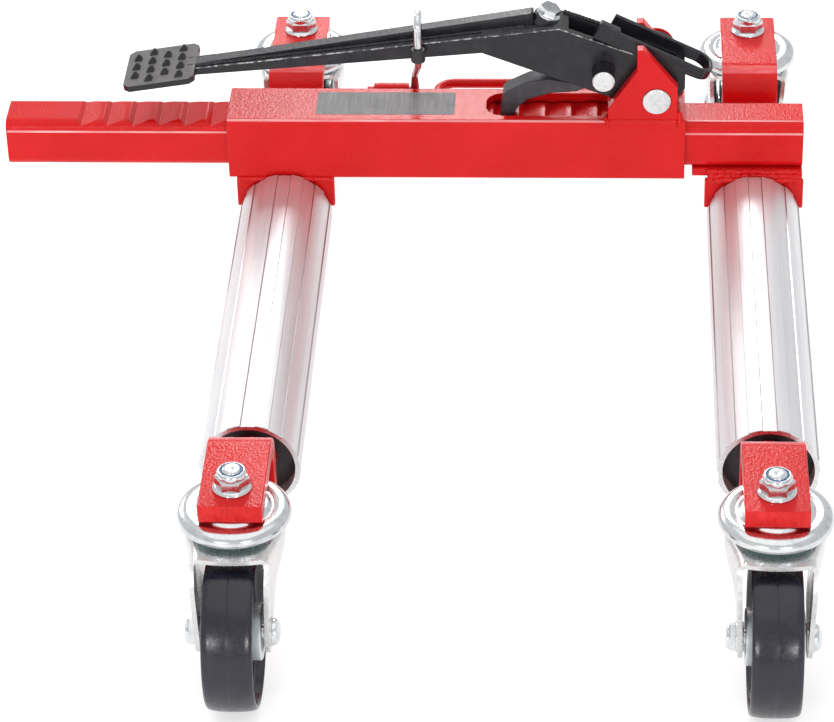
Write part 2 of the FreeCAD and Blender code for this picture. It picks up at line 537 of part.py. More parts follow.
    side, tread = "sizes.wheel_width / 2", "sizes.wheel_diameter / 2"
    sunk = "(sizes.wheel_width / 2 - sizes.wheel_side_recess)"
    hole = "(sizes.hub_tube_radius + sizes.running_clearance)"
    right_half = [(tread, side + " - sizes.tread_shoulder"), (tread + " - sizes.tread_shoulder", side),
                  (tread + " - sizes.wheel_rim_width", side),
                  (tread + " - sizes.wheel_rim_width - sizes.wheel_side_recess", sunk), (hole, sunk)]
    profile = [(along, radius) for radius, along in right_half]
    profile += [("-(%s)" % along, radius) for radius, along in reversed(right_half)]
    wheel = turned(name + "_wheel", profile, "XZ_Plane", "H_Axis")
    place(wheel, centre, "%s + %s" % (stem_y, wheel_y), axle_z)
    flange, end = "(%s + sizes.hub_flange)" % sunk, "(%s - 3 * sizes.moving_gap)" % half_wheel
    free = "(sizes.axle_bolt_diameter / 2 + sizes.running_clearance)"
    right_half = [(free, end), ("sizes.hub_boss_radius", end), ("sizes.hub_boss_radius", flange),
                  ("sizes.hub_radius", flange), ("sizes.hub_radius", sunk), ("sizes.hub_tube_radius", sunk)]
    profile = [(along, radius) for radius, along in right_half]
    profile += [("-" + along, radius) for radius, along in reversed(right_half)]
    hub = turned(name + "_hub", profile, "XZ_Plane", "H_Axis")
    place(hub, centre, "%s + %s" % (stem_y, wheel_y), axle_z)
    exports.extend([cap, race, fork, bolt, wheel, hub])


# Arms, stems and nuts and the casters at the four corners
nut_low = CASTER_TOP + " + sizes.arm_thickness"
nut_mid = "(%s + sizes.nut_flange_height)" % nut_low
nut_top = "(%s + sizes.nut_height)" % nut_mid
nut_end = "(%s + sizes.nut_collar_height)" % nut_top
stem_end = "(%s + sizes.stem_end_bevel)" % nut_end
head_top = "(%s - sizes.crown_thickness - sizes.moving_gap)" % CROWN_TOP
head_low = "(%s - sizes.stem_head_height)" % head_top
for side, centre in (("left", LEFT), ("right", RIGHT)):
    stems, nuts = [], []
    for end, way in (("front", -1), ("rear", 1)):
        corner = side + "_" + end
        build_arm(corner + "_arm", centre, -way)
        build_caster(corner, centre, way)
        post, open_hole = "sizes.stem_diameter / 2", "(sizes.stem_diameter / 2 + sizes.running_clearance)"
        stem = turned(corner + "_stem", [("0", head_low), ("sizes.stem_head_radius", head_low),
                                         ("sizes.stem_head_radius", head_top), (post, head_top),
                                         (post, nut_end), (post + " - sizes.stem_end_bevel", stem_end),
                                         ("0", stem_end)], "XZ_Plane", "V_Axis")
        nut = turned(corner + "_nut", [(open_hole, nut_low), ("sizes.nut_flange_radius", nut_low),
                                       ("sizes.nut_flange_radius", nut_mid),
                                       ("sizes.nut_collar_radius", nut_mid),
                                       ("sizes.nut_collar_radius", nut_end),
                                       (open_hole, nut_end)], "XZ_Plane", "V_Axis")
        hexagon = sketch_on(nut, "XY_Plane", nut_mid)
        across = "sizes.nut_across * %.9f"
        outline(hexagon, [(across % a, across % b) for a, b in hexagon_shares])
        ring(hexagon, "0", "0", open_hole)
        pad(nut, hexagon, "sizes.nut_height")
        for piece in (stem, nut):
            place(piece, centre, "%d * %s" % (way, STEM), "0")
        stems.append(stem)
        nuts.append(nut)
    exports.append(gather(side + "_caster_stems", stems))
    exports.append(gather(side + "_caster_nuts", nuts))

# Pedal lever: slotted head, tapering arm with a rib, studded foot pad
lever = new_body("pedal_lever")
belly_shares = [(-0.122, -0.188), (-0.049, -0.292), (0.065, -0.292)]
face = sketch_on(lever, "XZ_Plane")
incline = "tan(sizes.lever_incline * 1 deg)"
steep = "tan((sizes.lever_incline + sizes.strap_lean) * 1 deg)"
KNEE = "(sizes.heel_height + sizes.heel_reach * %s)" % incline
BOLT_BACK = "(sizes.lever_slot_back + sizes.bolt_gap)"
crest = "(sizes.crest_gap - %s)" % BOLT_BACK
points = [("-sizes.lever_head_length", "sizes.arm_root_bottom"),
          ("-sizes.pawl_pin_back - sizes.lever_chin", "sizes.lever_head_height * 0.0125")]
points += [("sizes.lever_head_length * %s" % a, "sizes.lever_head_height * %s" % b) for a, b in belly_shares]
points += [("sizes.heel_reach", "sizes.lever_head_height * 0.1"),
           ("sizes.heel_reach", "%s - sizes.heel_reach * %s" % (KNEE, steep)), ("0", KNEE),
           (crest, "sizes.heel_height + (sizes.heel_reach - %s) * %s" % (crest, incline)),
           ("-sizes.lever_head_length * 0.69", "sizes.lever_head_height * 1.048"),
           ("-sizes.lever_head_length", "sizes.arm_root_bottom + sizes.arm_root_flange")]
outline(face, points)
ring(face, "0", "0", "sizes.pin_diameter / 2 + sizes.running_clearance")
pad(lever, face, "sizes.lever_width", both=True)
slit = sketch_on(lever, "XY_Plane")
rectangle(slit, "-sizes.lever_slot_back", "-sizes.lever_slot_width / 2",
          "sizes.lever_slot_front", "sizes.lever_slot_width / 2")
pocket(lever, slit, "4 * sizes.lever_head_height", both=True)
hole = sketch_on(lever, "XZ_Plane")
pin_bore = "sizes.pawl_pin_diameter / 2 + sizes.running_clearance"
ring(hole, "-sizes.pawl_pin_back", "sizes.pawl_pin_up", pin_bore)
pocket(lever, hole, "2 * sizes.lever_width", both=True)


def arm_loft(start, root, tip):
    # A loft between a rectangle in the head and one at the pad: width, bottom and top
    rooms = []
    for offset, (wide, low, high) in ((start, root), ("-sizes.arm_length", tip)):
        rooms.append(sketch_on(lever, "YZ_Plane", offset))
        rectangle(rooms[-1], "-%s / 2" % wide, low, wide + " / 2", high)
    loft = lever.newObject("PartDesign::AdditiveLoft", "lever_arm_loft")
    loft.Profile = rooms[0]
    loft.Sections = [rooms[1]]
    loft.Ruled = True
    doc.recompute()


root_top = "(sizes.arm_root_bottom + sizes.arm_root_flange)"
tip_top = "(sizes.arm_end_bottom + sizes.arm_end_flange)"
arm_loft("-sizes.lever_head_length + sizes.arm_lap",
         ("sizes.arm_root_width", "sizes.arm_root_bottom", root_top),
         ("sizes.arm_end_width", "sizes.arm_end_bottom", tip_top))
rib_start = "-%s - sizes.bolt_washer_radius - sizes.rib_gap" % BOLT_BACK
arm_loft(rib_start, ("sizes.rib_width", "sizes.arm_root_bottom", root_top + " + sizes.rib_root_height"),
         ("sizes.rib_width", "sizes.arm_end_bottom", tip_top + " + sizes.rib_end_height"))
tilt = FreeCAD.Rotation(Y, -number_of("sizes.foot_pad_tilt"))
pad_x = "(-sizes.arm_length - sizes.foot_pad_length / 2 + sizes.arm_lap * 2)"
tread = sketch_on(lever, "XY_Plane", "sizes.arm_end_bottom - sizes.foot_pad_thickness / 4", tilt)
tread.setExpression("AttachmentOffset.Base.x", pad_x)
long_half, wide_half = "sizes.foot_pad_length / 2", "sizes.foot_pad_width / 2"
corner = "sizes.foot_pad_corner"
long_flat, wide_flat = "(%s - %s)" % (long_half, corner), "(%s - %s)" % (wide_half, corner)
right_edge = [(long_flat, "-" + wide_half), (long_half, "-" + wide_flat),
              (long_half, wide_flat), (long_flat, wide_half)]
outline(tread, right_edge + [("-" + x, y) for x, y in reversed(right_edge)])
pad(lever, tread, "sizes.foot_pad_thickness")
studs = sketch_on(lever, "XY_Plane", "sizes.arm_end_bottom + sizes.foot_pad_thickness * 3 / 4", tilt)
studs.setExpression("AttachmentOffset.Base.x", pad_x)
for line, count in enumerate(stud_rows):
    up_share = (line - (len(stud_rows) - 1) / 2) / len(stud_rows)
    for index in range(count):
        along_share = (index - (count - 1) / 2) / max(stud_rows)
        x = "sizes.foot_pad_length * %s" % (along_share * 0.9)
        y = "sizes.foot_pad_width * %s" % (up_share * 0.92)
        rectangle(studs, x + " - sizes.stud_size / 2", y + " - sizes.stud_size / 2",
                  x + " + sizes.stud_size / 2", y + " + sizes.stud_size / 2")
pad(lever, studs, "sizes.stud_height", taper="sizes.stud_taper")
lean = FreeCAD.Rotation(Y, number_of("sizes.lever_incline"))
bolt_z = "(sizes.heel_height + (sizes.heel_reach + %s) * %s)" % (BOLT_BACK, incline)
seat = sketch_on(lever, "XY_Plane", bolt_z, lean)
seat.setExpression("AttachmentOffset.Base.x", "-" + BOLT_BACK)
ring(seat, "0", "0", "sizes.bolt_boss_radius")
pad(lever, seat, "2 * sizes.bolt_boss_height", back=True)
drill = sketch_on(lever, "XY_Plane", bolt_z, lean)
drill.setExpression("AttachmentOffset.Base.x", "-" + BOLT_BACK)
ring(drill, "0", "0", "sizes.bolt_shank_diameter / 2 + sizes.running_clearance")
pocket(lever, drill, "sizes.bolt_shank_length + sizes.moving_gap")
place(lever, PIVOT_X, TUBE_Y, PIVOT_Z)
exports.append(lever)

# Lever bolt with its washer
shank, washer = "sizes.bolt_shank_diameter / 2", "sizes.bolt_washer_radius"
lever_bolt = turned("lever_bolt", [("0", "-sizes.bolt_shank_length"), (shank, "-sizes.bolt_shank_length"),
                                   (shank, "0"), (washer, "0"), (washer, "sizes.bolt_washer_height"),
                                   ("0", "sizes.bolt_washer_height")], "XZ_Plane", "V_Axis",
                    [("sizes.bolt_washer_height", "sizes.bolt_across", "sizes.bolt_head_height", False)])
lever_bolt.Placement = FreeCAD.Placement(V(0, 0, 0), lean)
place(lever_bolt, "%s - %s" % (PIVOT_X, BOLT_BACK), TUBE_Y, "%s + %s" % (PIVOT_Z, bolt_z))
exports.append(lever_bolt)

# Pawl pin
radius = "sizes.pawl_pin_diameter / 2"
pawl_pin = turned("pawl_pin", [("-sizes.pawl_pin_front", "0"),
                               ("-sizes.pawl_pin_front", radius + " - sizes.pin_bevel"),
                               ("-sizes.pawl_pin_front + sizes.pin_bevel", radius),
                               ("sizes.pawl_pin_behind", radius), ("sizes.pawl_pin_behind", "0")],
                  "YZ_Plane", "H_Axis")
PAWL_X, PAWL_Z = PIVOT_X + " - sizes.pawl_pin_back", PIVOT_Z + " + sizes.pawl_pin_up"
place(pawl_pin, PAWL_X, TUBE_Y, PAWL_Z)
exports.append(pawl_pin)

# Release strap: a hairpin of flat strip on the lever's heel, with a lug under its near end
strap = new_body("release_strap")
hair = sketch_on(strap, "XY_Plane")
slope = "cos((sizes.lever_incline + sizes.strap_lean) * 1 deg)"
strap_start, strap_end = "-sizes.strap_back / " + slope, "sizes.strap_reach / " + slope
broad, slim = "sizes.strap_wide / 2", "(sizes.strap_wide / 2 - sizes.strap_thickness)"
strap_inside = strap_end + " - sizes.strap_thickness"
outline(hair, [(strap_start, "-" + broad), (strap_end, "-" + broad), (strap_end, broad), (strap_start, broad),
               (strap_start, slim), (strap_inside, slim),
               (strap_inside, "-" + slim), (strap_start, "-" + slim)])
strip = pad(strap, hair, "sizes.strap_height")
far, near = number_of(strap_end), number_of(strap_inside)
corners = [V(far, side * number_of(broad), 0) for side in (-1, 1)]
strip = soften(strap, strip, "sizes.strap_bend", Z, corners)
corners = [V(near, side * number_of(slim), 0) for side in (-1, 1)]
soften(strap, strip, "sizes.strap_bend - sizes.strap_thickness", Z, corners)
lug_drop = "(sizes.strap_back / %s - sizes.strap_thickness) * tan(sizes.strap_lean * 1 deg)" % slope
lug = sketch_on(strap, "XY_Plane", "-" + lug_drop)
rectangle(lug, strap_start + " - sizes.strap_lug_length", "-" + broad,
          strap_start + " + sizes.strap_thickness", "-%s + sizes.strap_lug_width" % broad)
pad(strap, lug, "sizes.strap_lug_height + " + lug_drop)
strap_turn = FreeCAD.Rotation(Y, number_of("sizes.lever_incline + sizes.strap_lean"))
strap.Placement = FreeCAD.Placement(V(0, 0, 0), strap_turn)
place(strap, PIVOT_X, TUBE_Y, "%s + %s" % (PIVOT_Z, KNEE))
exports.append(strap)

# Drive pawl on the pawl pin
pawl = new_body("drive_pawl")
tip_drop = "(sizes.pawl_pin_up + %s - sizes.pawl_hover)" % LAND_DROP
body_shares = [(-0.825, 0.813), (-0.736, 0.665), (-0.511, 0.53), (-0.256, 0.493), (-0.037, 0.288),
               (0.078, 0.2), (0.078, -0.2), (-0.041, -0.26), (-0.274, -0.148), (-0.318, 0.32),
               (-0.516, 0.246), (-0.716, 0.298), (-0.934, 0.493), (-0.967, 0.567)]
face = sketch_on(pawl, "XZ_Plane")
outline(face, [("-sizes.pawl_reach", "-" + tip_drop), ("-sizes.pawl_reach * 0.89", "-" + tip_drop)]
        + [("sizes.pawl_reach * %s" % a, "-%s * %s" % (tip_drop, b)) for a, b in body_shares])
pad(pawl, face, "sizes.pawl_width", both=True)
boss = sketch_on(pawl, "XZ_Plane")
ring(boss, "0", "0", "sizes.pawl_boss_radius")
pad(pawl, boss, "sizes.pawl_width", both=True)
eye = sketch_on(pawl, "XZ_Plane")
ring(eye, "0", "0", pin_bore)
pocket(pawl, eye, "2 * sizes.pawl_width", both=True)
place(pawl, PAWL_X, TUBE_Y, PAWL_Z)
exports.append(pawl)

# Holding pawl on the main pin, inside the lever's slot
holder = new_body("holding_pawl")
face = sketch_on(holder, "XZ_Plane")
nose_z = "-(%s - sizes.pawl_hover)" % LAND_DROP
outline(face, [("-sizes.holding_reach", nose_z), ("-sizes.holding_reach + sizes.holding_nose", nose_z),
               ("sizes.holding_boss_radius * 0.2", "-sizes.holding_boss_radius * 0.9"),
               ("sizes.holding_boss_radius * 0.2", "0"), ("-sizes.holding_boss_radius * 0.9", "0")])
pad(holder, face, "sizes.holding_width", both=True)
boss = sketch_on(holder, "XZ_Plane")
ring(boss, "0", "0", "sizes.holding_boss_radius")
pad(holder, boss, "sizes.holding_width", both=True)
eye = sketch_on(holder, "XZ_Plane")
ring(eye, "0", "0", "sizes.pin_diameter / 2 + sizes.running_clearance")
pocket(holder, eye, "2 * sizes.holding_width", both=True)
place(holder, PIVOT_X, TUBE_Y, PIVOT_Z)
exports.append(holder)


def bent_rod(name, radius, bend, corners):
    # A round rod swept along straight runs joined by arcs of one bend radius
    spots = [V(*[number_of(text) for text in corner]) for corner in corners]
    edges, start = [], spots[0]
    for before, spot, after in zip(spots, spots[1:], spots[2:]):
        come, leave = (spot - before).normalize(), (after - spot).normalize()
        half_turn = come.getAngle(leave) / 2
        back_off = number_of(bend) * math.tan(half_turn)
        a, b = spot - come * back_off, spot + leave * back_off
        middle = spot + (leave - come).normalize() * (number_of(bend) / math.cos(half_turn) - number_of(bend))
        if (a - start).Length > number_of(radius) * 1e-4:
            edges.append(Part.LineSegment(start, a).toShape())
        edges.append(Part.Arc(a, middle, b).toShape())
        start = b
    edges.append(Part.LineSegment(start, spots[-1]).toShape())
    section = Part.Wire(Part.Circle(spots[0], spots[1] - spots[0], number_of(radius)).toShape())
    pipe = Part.BRepOffsetAPI.MakePipeShell(Part.Wire(edges))
    pipe.add(section)
    pipe.build()
    pipe.makeSolid()
    rod = doc.addObject("Part::Feature", name)
    rod.Label = name
    rod.Shape = pipe.shape()
    exports.append(rod)
    return rod


# Carry handle on the back of the outer tube
handle_far = "(sizes.outer_width / 2 + sizes.handle_reach)"
handle_near = "sizes.outer_width / 2"
handle = bent_rod("carry_handle", "sizes.handle_rod_diameter / 2", "sizes.handle_bend",
                  [("0", handle_near, "0"), ("0", handle_far, "0"),
                   ("sizes.handle_length", handle_far, "0"), ("sizes.handle_length", handle_near, "0")])
place(handle, LEFT + " - sizes.tube_overhang + sizes.handle_offset", TUBE_Y, TUBE_Z + " + sizes.handle_rise")

# Pedal keeper: hinge barrel on the tube, bent rod over the lever and its grip sleeve
hinge_y = "(sizes.outer_width / 2 + sizes.keeper_setback)"
keeper_x = LEFT + " - sizes.tube_overhang + sizes.keeper_offset"
keeper_z = TUBE_TOP + " - sizes.keeper_hinge_drop"
barrel = new_body("keeper_barrel")
eye = sketch_on(barrel, "YZ_Plane", "-sizes.keeper_barrel_gap - sizes.keeper_barrel_length")
ring(eye, "0", "0", "sizes.keeper_barrel_radius")
pad(barrel, eye, "sizes.keeper_barrel_length")
web = sketch_on(barrel, "YZ_Plane", "-sizes.keeper_barrel_gap - sizes.keeper_barrel_length")
rectangle(web, "-sizes.keeper_setback", "-sizes.keeper_barrel_radius", "0", "0")
pad(barrel, web, "sizes.keeper_barrel_length")
bore_hole = sketch_on(barrel, "YZ_Plane", "0")
ring(bore_hole, "0", "0", "sizes.keeper_rod_diameter / 2 + sizes.running_clearance")
pocket(barrel, bore_hole, "2 * (sizes.keeper_barrel_gap + sizes.keeper_barrel_length)")
place(barrel, keeper_x, "%s + %s" % (TUBE_Y, hinge_y), keeper_z)
exports.append(barrel)
front_y = "(-%s - sizes.keeper_front)" % hinge_y
keeper = bent_rod("keeper_rod", "sizes.keeper_rod_diameter / 2", "sizes.keeper_bend",
                  [("-sizes.keeper_barrel_gap - sizes.keeper_barrel_length - sizes.keeper_tail", "0", "0"),
                   ("0", "0", "0"), ("0", "0", "sizes.keeper_cross_rise"),
                   ("0", front_y, "sizes.keeper_cross_rise"),
                   ("0", front_y, "sizes.keeper_hook_rise"),
                   ("0", "-%s - sizes.keeper_tip" % hinge_y, "sizes.keeper_hook_rise")])
place(keeper, keeper_x, "%s + %s" % (TUBE_Y, hinge_y), keeper_z)
sleeve_low, sleeve_high = "sizes.sleeve_rise", "(sizes.sleeve_rise + sizes.sleeve_length)"
hole = "(sizes.keeper_rod_diameter / 2 + sizes.running_clearance)"
sleeve = turned("keeper_sleeve", [(hole, sleeve_low), ("sizes.sleeve_radius", sleeve_low),
                                  ("sizes.sleeve_radius", sleeve_high), (hole, sleeve_high)],
                "XZ_Plane", "V_Axis")
place(sleeve, keeper_x, "%s - sizes.keeper_front" % TUBE_Y, keeper_z)
exports.append(sleeve)

# Checks and export
doc.recompute()
for thing in doc.Objects:
    if "Invalid" in thing.State or "Error" in thing.State:
        raise RuntimeError("not built: " + thing.Label)
os.makedirs("parts", exist_ok=True)
for thing in exports:
    if thing.Shape.isNull() or not thing.Shape.isValid():
        raise RuntimeError("bad shape: " + thing.Label)
    thing.Shape.exportStep("parts/%s.step" % thing.Label)
print("parts written:", len(exports))
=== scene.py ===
import json
import math
import random

import bmesh
import bpy
from mathutils import Matrix, Vector


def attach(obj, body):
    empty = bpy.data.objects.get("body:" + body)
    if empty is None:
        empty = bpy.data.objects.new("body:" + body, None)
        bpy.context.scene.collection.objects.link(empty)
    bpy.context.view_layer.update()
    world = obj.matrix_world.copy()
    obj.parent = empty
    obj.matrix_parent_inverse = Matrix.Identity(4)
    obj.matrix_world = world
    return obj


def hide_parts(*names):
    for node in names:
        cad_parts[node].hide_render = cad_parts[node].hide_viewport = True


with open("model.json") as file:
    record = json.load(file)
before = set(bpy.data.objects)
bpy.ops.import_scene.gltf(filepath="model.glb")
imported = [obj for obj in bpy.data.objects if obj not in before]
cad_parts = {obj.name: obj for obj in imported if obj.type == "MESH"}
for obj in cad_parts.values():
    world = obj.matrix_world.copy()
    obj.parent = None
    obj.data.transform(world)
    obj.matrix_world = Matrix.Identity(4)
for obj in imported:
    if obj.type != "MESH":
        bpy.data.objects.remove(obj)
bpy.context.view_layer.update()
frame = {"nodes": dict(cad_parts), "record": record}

MM = 0.001
NODES = frame["nodes"]
RECORD = frame["record"]
SLOT_OF = {item["node"]: item["material_slot"] for item in RECORD["subparts"]}
BODY_OF = {node: body for body, nodes in RECORD["behaviour"]["bodies"].items() for node in nodes}
JOINT_AT = {joint["name"]: [round(value / MM, 3) for value in joint["pos_m"]]
            for joint in RECORD["behaviour"]["joints"] if "pos_m" in joint}

# Main places in millimetres, from the joints of the frame
LEFT_X, _, AXLE_Z = JOINT_AT["left_roller_spin"]
RIGHT_X = JOINT_AT["right_roller_spin"][0]
PIVOT = Vector(JOINT_AT["pedal_swing"])
PAWL = Vector(JOINT_AT["drive_pawl_swing"])
KEEPER_X, KEEPER_Y, KEEPER_Z = JOINT_AT["keeper_swing"]
STEM_Y = JOINT_AT["left_rear_swivel_turn"][1]
HUB_Z = JOINT_AT["left_rear_wheel_spin"][2]
TRAIL = JOINT_AT["left_rear_wheel_spin"][1] - STEM_Y
CORNERS = [("left_front", LEFT_X, -1), ("left_rear", LEFT_X, 1),
           ("right_front", RIGHT_X, -1), ("right_rear", RIGHT_X, 1)]
SIDES = (("left", LEFT_X), ("right", RIGHT_X))

# Faces of the square tubes and of the ears, in millimetres
TUBE_Y, TUBE_Z, OUTER_HALF, INNER_HALF = JOINT_AT["pedal_swing"][1], 132.0, 24.0, 18.0
OUTER_LOW, OUTER_TOP = TUBE_Z - OUTER_HALF, TUBE_Z + OUTER_HALF
OUTER_FRONT, OUTER_BACK = TUBE_Y - OUTER_HALF, TUBE_Y + OUTER_HALF
INNER_FRONT, INNER_BACK = TUBE_Y - INNER_HALF, TUBE_Y + INNER_HALF
INNER_TOP = TUBE_Z + INNER_HALF
EAR_THICK, EAR_START, EAR_END = 8.0, 145.0, 193.0
FRONT_EAR_IN, REAR_EAR_IN = OUTER_FRONT + EAR_THICK, OUTER_BACK - EAR_THICK

# Directions, and maps from (u, v, w) to the frame
ALONG_X, ALONG_Y, ALONG_Z = (1, 0, 0), (0, 1, 0), (0, 0, 1)
U_IS_X_V_IS_Z = Matrix(((1, 0, 0, 0), (0, 0, 1, 0), (0, 1, 0, 0), (0, 0, 0, 1)))
U_IS_Y_V_IS_Z = Matrix(((0, 0, 1, 0), (1, 0, 0, 0), (0, 1, 0, 0), (0, 0, 0, 1)))


# Materials
def material(name, colour, metal, rough, layers, bump=(), swing=0.08, spec=0.5):
    """A Principled material with noise in its colour, roughness and normal.

    Each layer is (colour, noise scale, low, high) over the base colour, and each bump is
    (noise scale, strength, depth). A scale is one number or one per axis.
    """
    mat = bpy.data.materials.new(name)
    mat.use_nodes = True
    tree = mat.node_tree
    shader = tree.nodes["Principled BSDF"]
    link = tree.links.new
    shader.inputs["Metallic"].default_value = metal
    shader.inputs["Specular IOR Level"].default_value = spec
    where = tree.nodes.new("ShaderNodeTexCoord")

    def noise(scale, detail=4.0):
        mapping = tree.nodes.new("ShaderNodeMapping")
        mapping.inputs["Scale"].default_value = scale if isinstance(scale, tuple) else (scale, scale, scale)
        link(where.outputs["Object"], mapping.inputs["Vector"])
        cloud = tree.nodes.new("ShaderNodeTexNoise")
        cloud.inputs["Scale"].default_value = 1.0
        cloud.inputs["Detail"].default_value = detail
        link(mapping.outputs["Vector"], cloud.inputs["Vector"])
        return cloud.outputs["Fac"]

    last = None
    for tint, scale, low, high in layers:
        ramp = tree.nodes.new("ShaderNodeMapRange")
        ramp.inputs["From Min"].default_value = low
        ramp.inputs["From Max"].default_value = high
        link(noise(scale), ramp.inputs["Value"])
        mix = tree.nodes.new("ShaderNodeMix")
        mix.data_type = "RGBA"
        mix.inputs["A"].default_value = (*colour, 1)
        mix.inputs["B"].default_value = (*tint, 1)
        link(ramp.outputs["Result"], mix.inputs["Factor"])
        if last:
            link(last, mix.inputs["A"])
        last = mix.outputs["Result"]
    link(last, shader.inputs["Base Color"])
    sheen = tree.nodes.new("ShaderNodeMapRange")
    sheen.inputs["From Min"].default_value = 0.3
    sheen.inputs["From Max"].default_value = 0.7
    sheen.inputs["To Min"].default_value = max(0.02, rough - swing)
    sheen.inputs["To Max"].default_value = rough + swing
    link(noise(bump[0][0] if bump else 120), sheen.inputs["Value"])
    link(sheen.outputs["Result"], shader.inputs["Roughness"])
    normal = None
    for scale, strength, depth in bump:
        node = tree.nodes.new("ShaderNodeBump")
        node.inputs["Strength"].default_value = strength
        node.inputs["Distance"].default_value = depth
        link(noise(scale, 3.0), node.inputs["Height"])
        if normal:
            link(normal, node.inputs["Normal"])
        normal = node.outputs["Normal"]
    if normal:
        link(normal, shader.inputs["Normal"])
    return mat


RED = material("red_powder_coat", (0.60, 0.006, 0.007), 0.0, 0.22,
               [((0.68, 0.010, 0.011), 18, 0.42, 0.72), ((0.46, 0.005, 0.006), 900, 0.6, 0.9)],
               [(560, 0.34, 0.0008), (190, 0.10, 0.0008)], swing=0.05, spec=0.22)
RED_CUT = material("red_paint_on_sawn_end", (0.62, 0.008, 0.009), 0.0, 0.24,
                   [((0.72, 0.020, 0.018), (160, 160, 90), 0.45, 0.7),
                    ((0.48, 0.005, 0.006), (420, 420, 120), 0.5, 0.8)],
                   [((300, 300, 110), 0.55, 0.0012), (900, 0.2, 0.0004)], spec=0.3)
# Lighter pinkish red: a painted highlight for the slide's ridge and the tubes' front corners
RED_HIGHLIGHT = material("painted_red_highlight", (0.82, 0.24, 0.25), 0.0, 0.24,
                    [((0.90, 0.42, 0.42), (30, 300, 300), 0.42, 0.66)], [(400, 0.1, 0.0004)], spec=0.6)
# Lighter red band: a painted highlight on the arms' bends
RED_BEND_HIGHLIGHT = material("red_bend_painted_highlight", (0.70, 0.060, 0.064), 0.0, 0.24,
                    [((0.80, 0.15, 0.155), (60, 400, 400), 0.40, 0.66)], [(560, 0.3, 0.0008)], spec=0.4)
# Red-tinted metal: a painted reflection of the red tube on the keeper rod's lower run
ROD_RED_REFLECTION = material("rod_painted_red_reflection", (0.42, 0.085, 0.10), 0.8, 0.26,
                   [((0.30, 0.06, 0.07), 140, 0.45, 0.7)], [(500, 0.1, 0.0003)])
ALU = material("satin_aluminium", (0.72, 0.715, 0.735), 0.85, 0.46,
               [((0.63, 0.625, 0.65), (700, 6, 700), 0.5, 0.8),
                ((0.77, 0.77, 0.78), (40, 8, 40), 0.5, 0.7)],
               [((1500, 10, 1500), 0.12, 0.0002)], swing=0.06)
ALU_CUT = material("sawn_aluminium", (0.80, 0.80, 0.81), 1.0, 0.30,
                   [((0.66, 0.66, 0.68), 900, 0.45, 0.75)], [(900, 0.15, 0.0002)])
# Darker aluminium on the flutes' narrow step faces: painted shade
FLUTE_STEP_SHADE = material("flute_step_painted_shade", (0.46, 0.455, 0.475), 0.9, 0.34,
                  [((0.34, 0.335, 0.35), (300, 12, 300), 0.45, 0.75)],
                  [((900, 20, 900), 0.1, 0.0002)], swing=0.06)
FORK = material("pressed_zinc_sheet", (0.68, 0.68, 0.675), 0.9, 0.30,
                [((0.59, 0.59, 0.59), 45, 0.42, 0.7), ((0.77, 0.765, 0.755), 170, 0.52, 0.8)],
                [(420, 0.10, 0.0004), (70, 0.10, 0.0008)])
ZINC = material("bright_zinc", (0.66, 0.68, 0.70), 1.0, 0.19,
                [((0.52, 0.545, 0.57), 160, 0.45, 0.75), ((0.74, 0.74, 0.725), 30, 0.5, 0.8)],
                [(500, 0.08, 0.0003)], swing=0.07)
STEEL = material("turned_steel", (0.72, 0.72, 0.73), 1.0, 0.26,
                 [((0.55, 0.55, 0.57), 300, 0.5, 0.8)], [(700, 0.1, 0.0002)])
BOLT = material("dull_bolt", (0.33, 0.34, 0.36), 1.0, 0.30,
                [((0.46, 0.47, 0.49), 200, 0.45, 0.75)], [(500, 0.1, 0.0003)])
SPRING = material("spring_wire", (0.035, 0.035, 0.039), 0.5, 0.30,
                  [((0.06, 0.06, 0.065), 250, 0.45, 0.7)], [(600, 0.12, 0.0002)])
HUB = material("hub_steel", (0.60, 0.64, 0.66), 0.4, 0.36,
               [((0.48, 0.52, 0.54), 140, 0.42, 0.72)], [(500, 0.1, 0.0003)])
BLACK = material("black_enamel", (0.016, 0.0145, 0.018), 0.0, 0.22,
                 [((0.026, 0.024, 0.029), 90, 0.45, 0.7)],
                 [(260, 0.16, 0.0005), (40, 0.12, 0.001)], spec=0.32)
# Lighter speckled black for the lever arm's top: wear, and painted light from above
WORN_TOP_AND_PAINTED_LIGHT = material("worn_casting_top_and_painted_light", (0.062, 0.059, 0.066), 0.0, 0.36,
                [((0.034, 0.032, 0.037), 240, 0.46, 0.66), ((0.22, 0.215, 0.23), 600, 0.60, 0.8)],
                [(420, 0.4, 0.0006)], swing=0.12)
# Pale broken lines along the lever's edges: painted highlights
EDGE_HIGHLIGHT = material("enamel_edge_painted_highlight", (0.05, 0.048, 0.052), 0.0, 0.3,
                   [((0.46, 0.45, 0.46), 240, 0.44, 0.58)], [(500, 0.3, 0.0004)], swing=0.1)
TREAD = material("scuffed_tread", (0.11, 0.102, 0.104), 0.0, 0.42,
                 [((0.075, 0.07, 0.072), 150, 0.45, 0.7), ((0.19, 0.18, 0.18), 500, 0.58, 0.8)],
                 [(380, 0.3, 0.0005)], swing=0.1)
PHOSPHATE = material("dark_phosphate", (0.045, 0.042, 0.05), 0.3, 0.46,
                     [((0.07, 0.067, 0.076), 120, 0.45, 0.7)], [(520, 0.2, 0.0004)], swing=0.1)
WHEEL = material("wheel_polymer", (0.011, 0.0102, 0.019), 0.0, 0.26,
                 [((0.019, 0.0175, 0.030), 70, 0.45, 0.75)], [(380, 0.12, 0.0004)])
NYLON = material("black_nylon", (0.014, 0.013, 0.016), 0.0, 0.45,
                 [((0.028, 0.026, 0.031), 200, 0.45, 0.75)], [(600, 0.2, 0.0003)])
RACE = material("race_seal", (0.40, 0.66, 0.66), 0.1, 0.24,
                [((0.30, 0.52, 0.53), 200, 0.45, 0.75)], [(400, 0.15, 0.0003)])
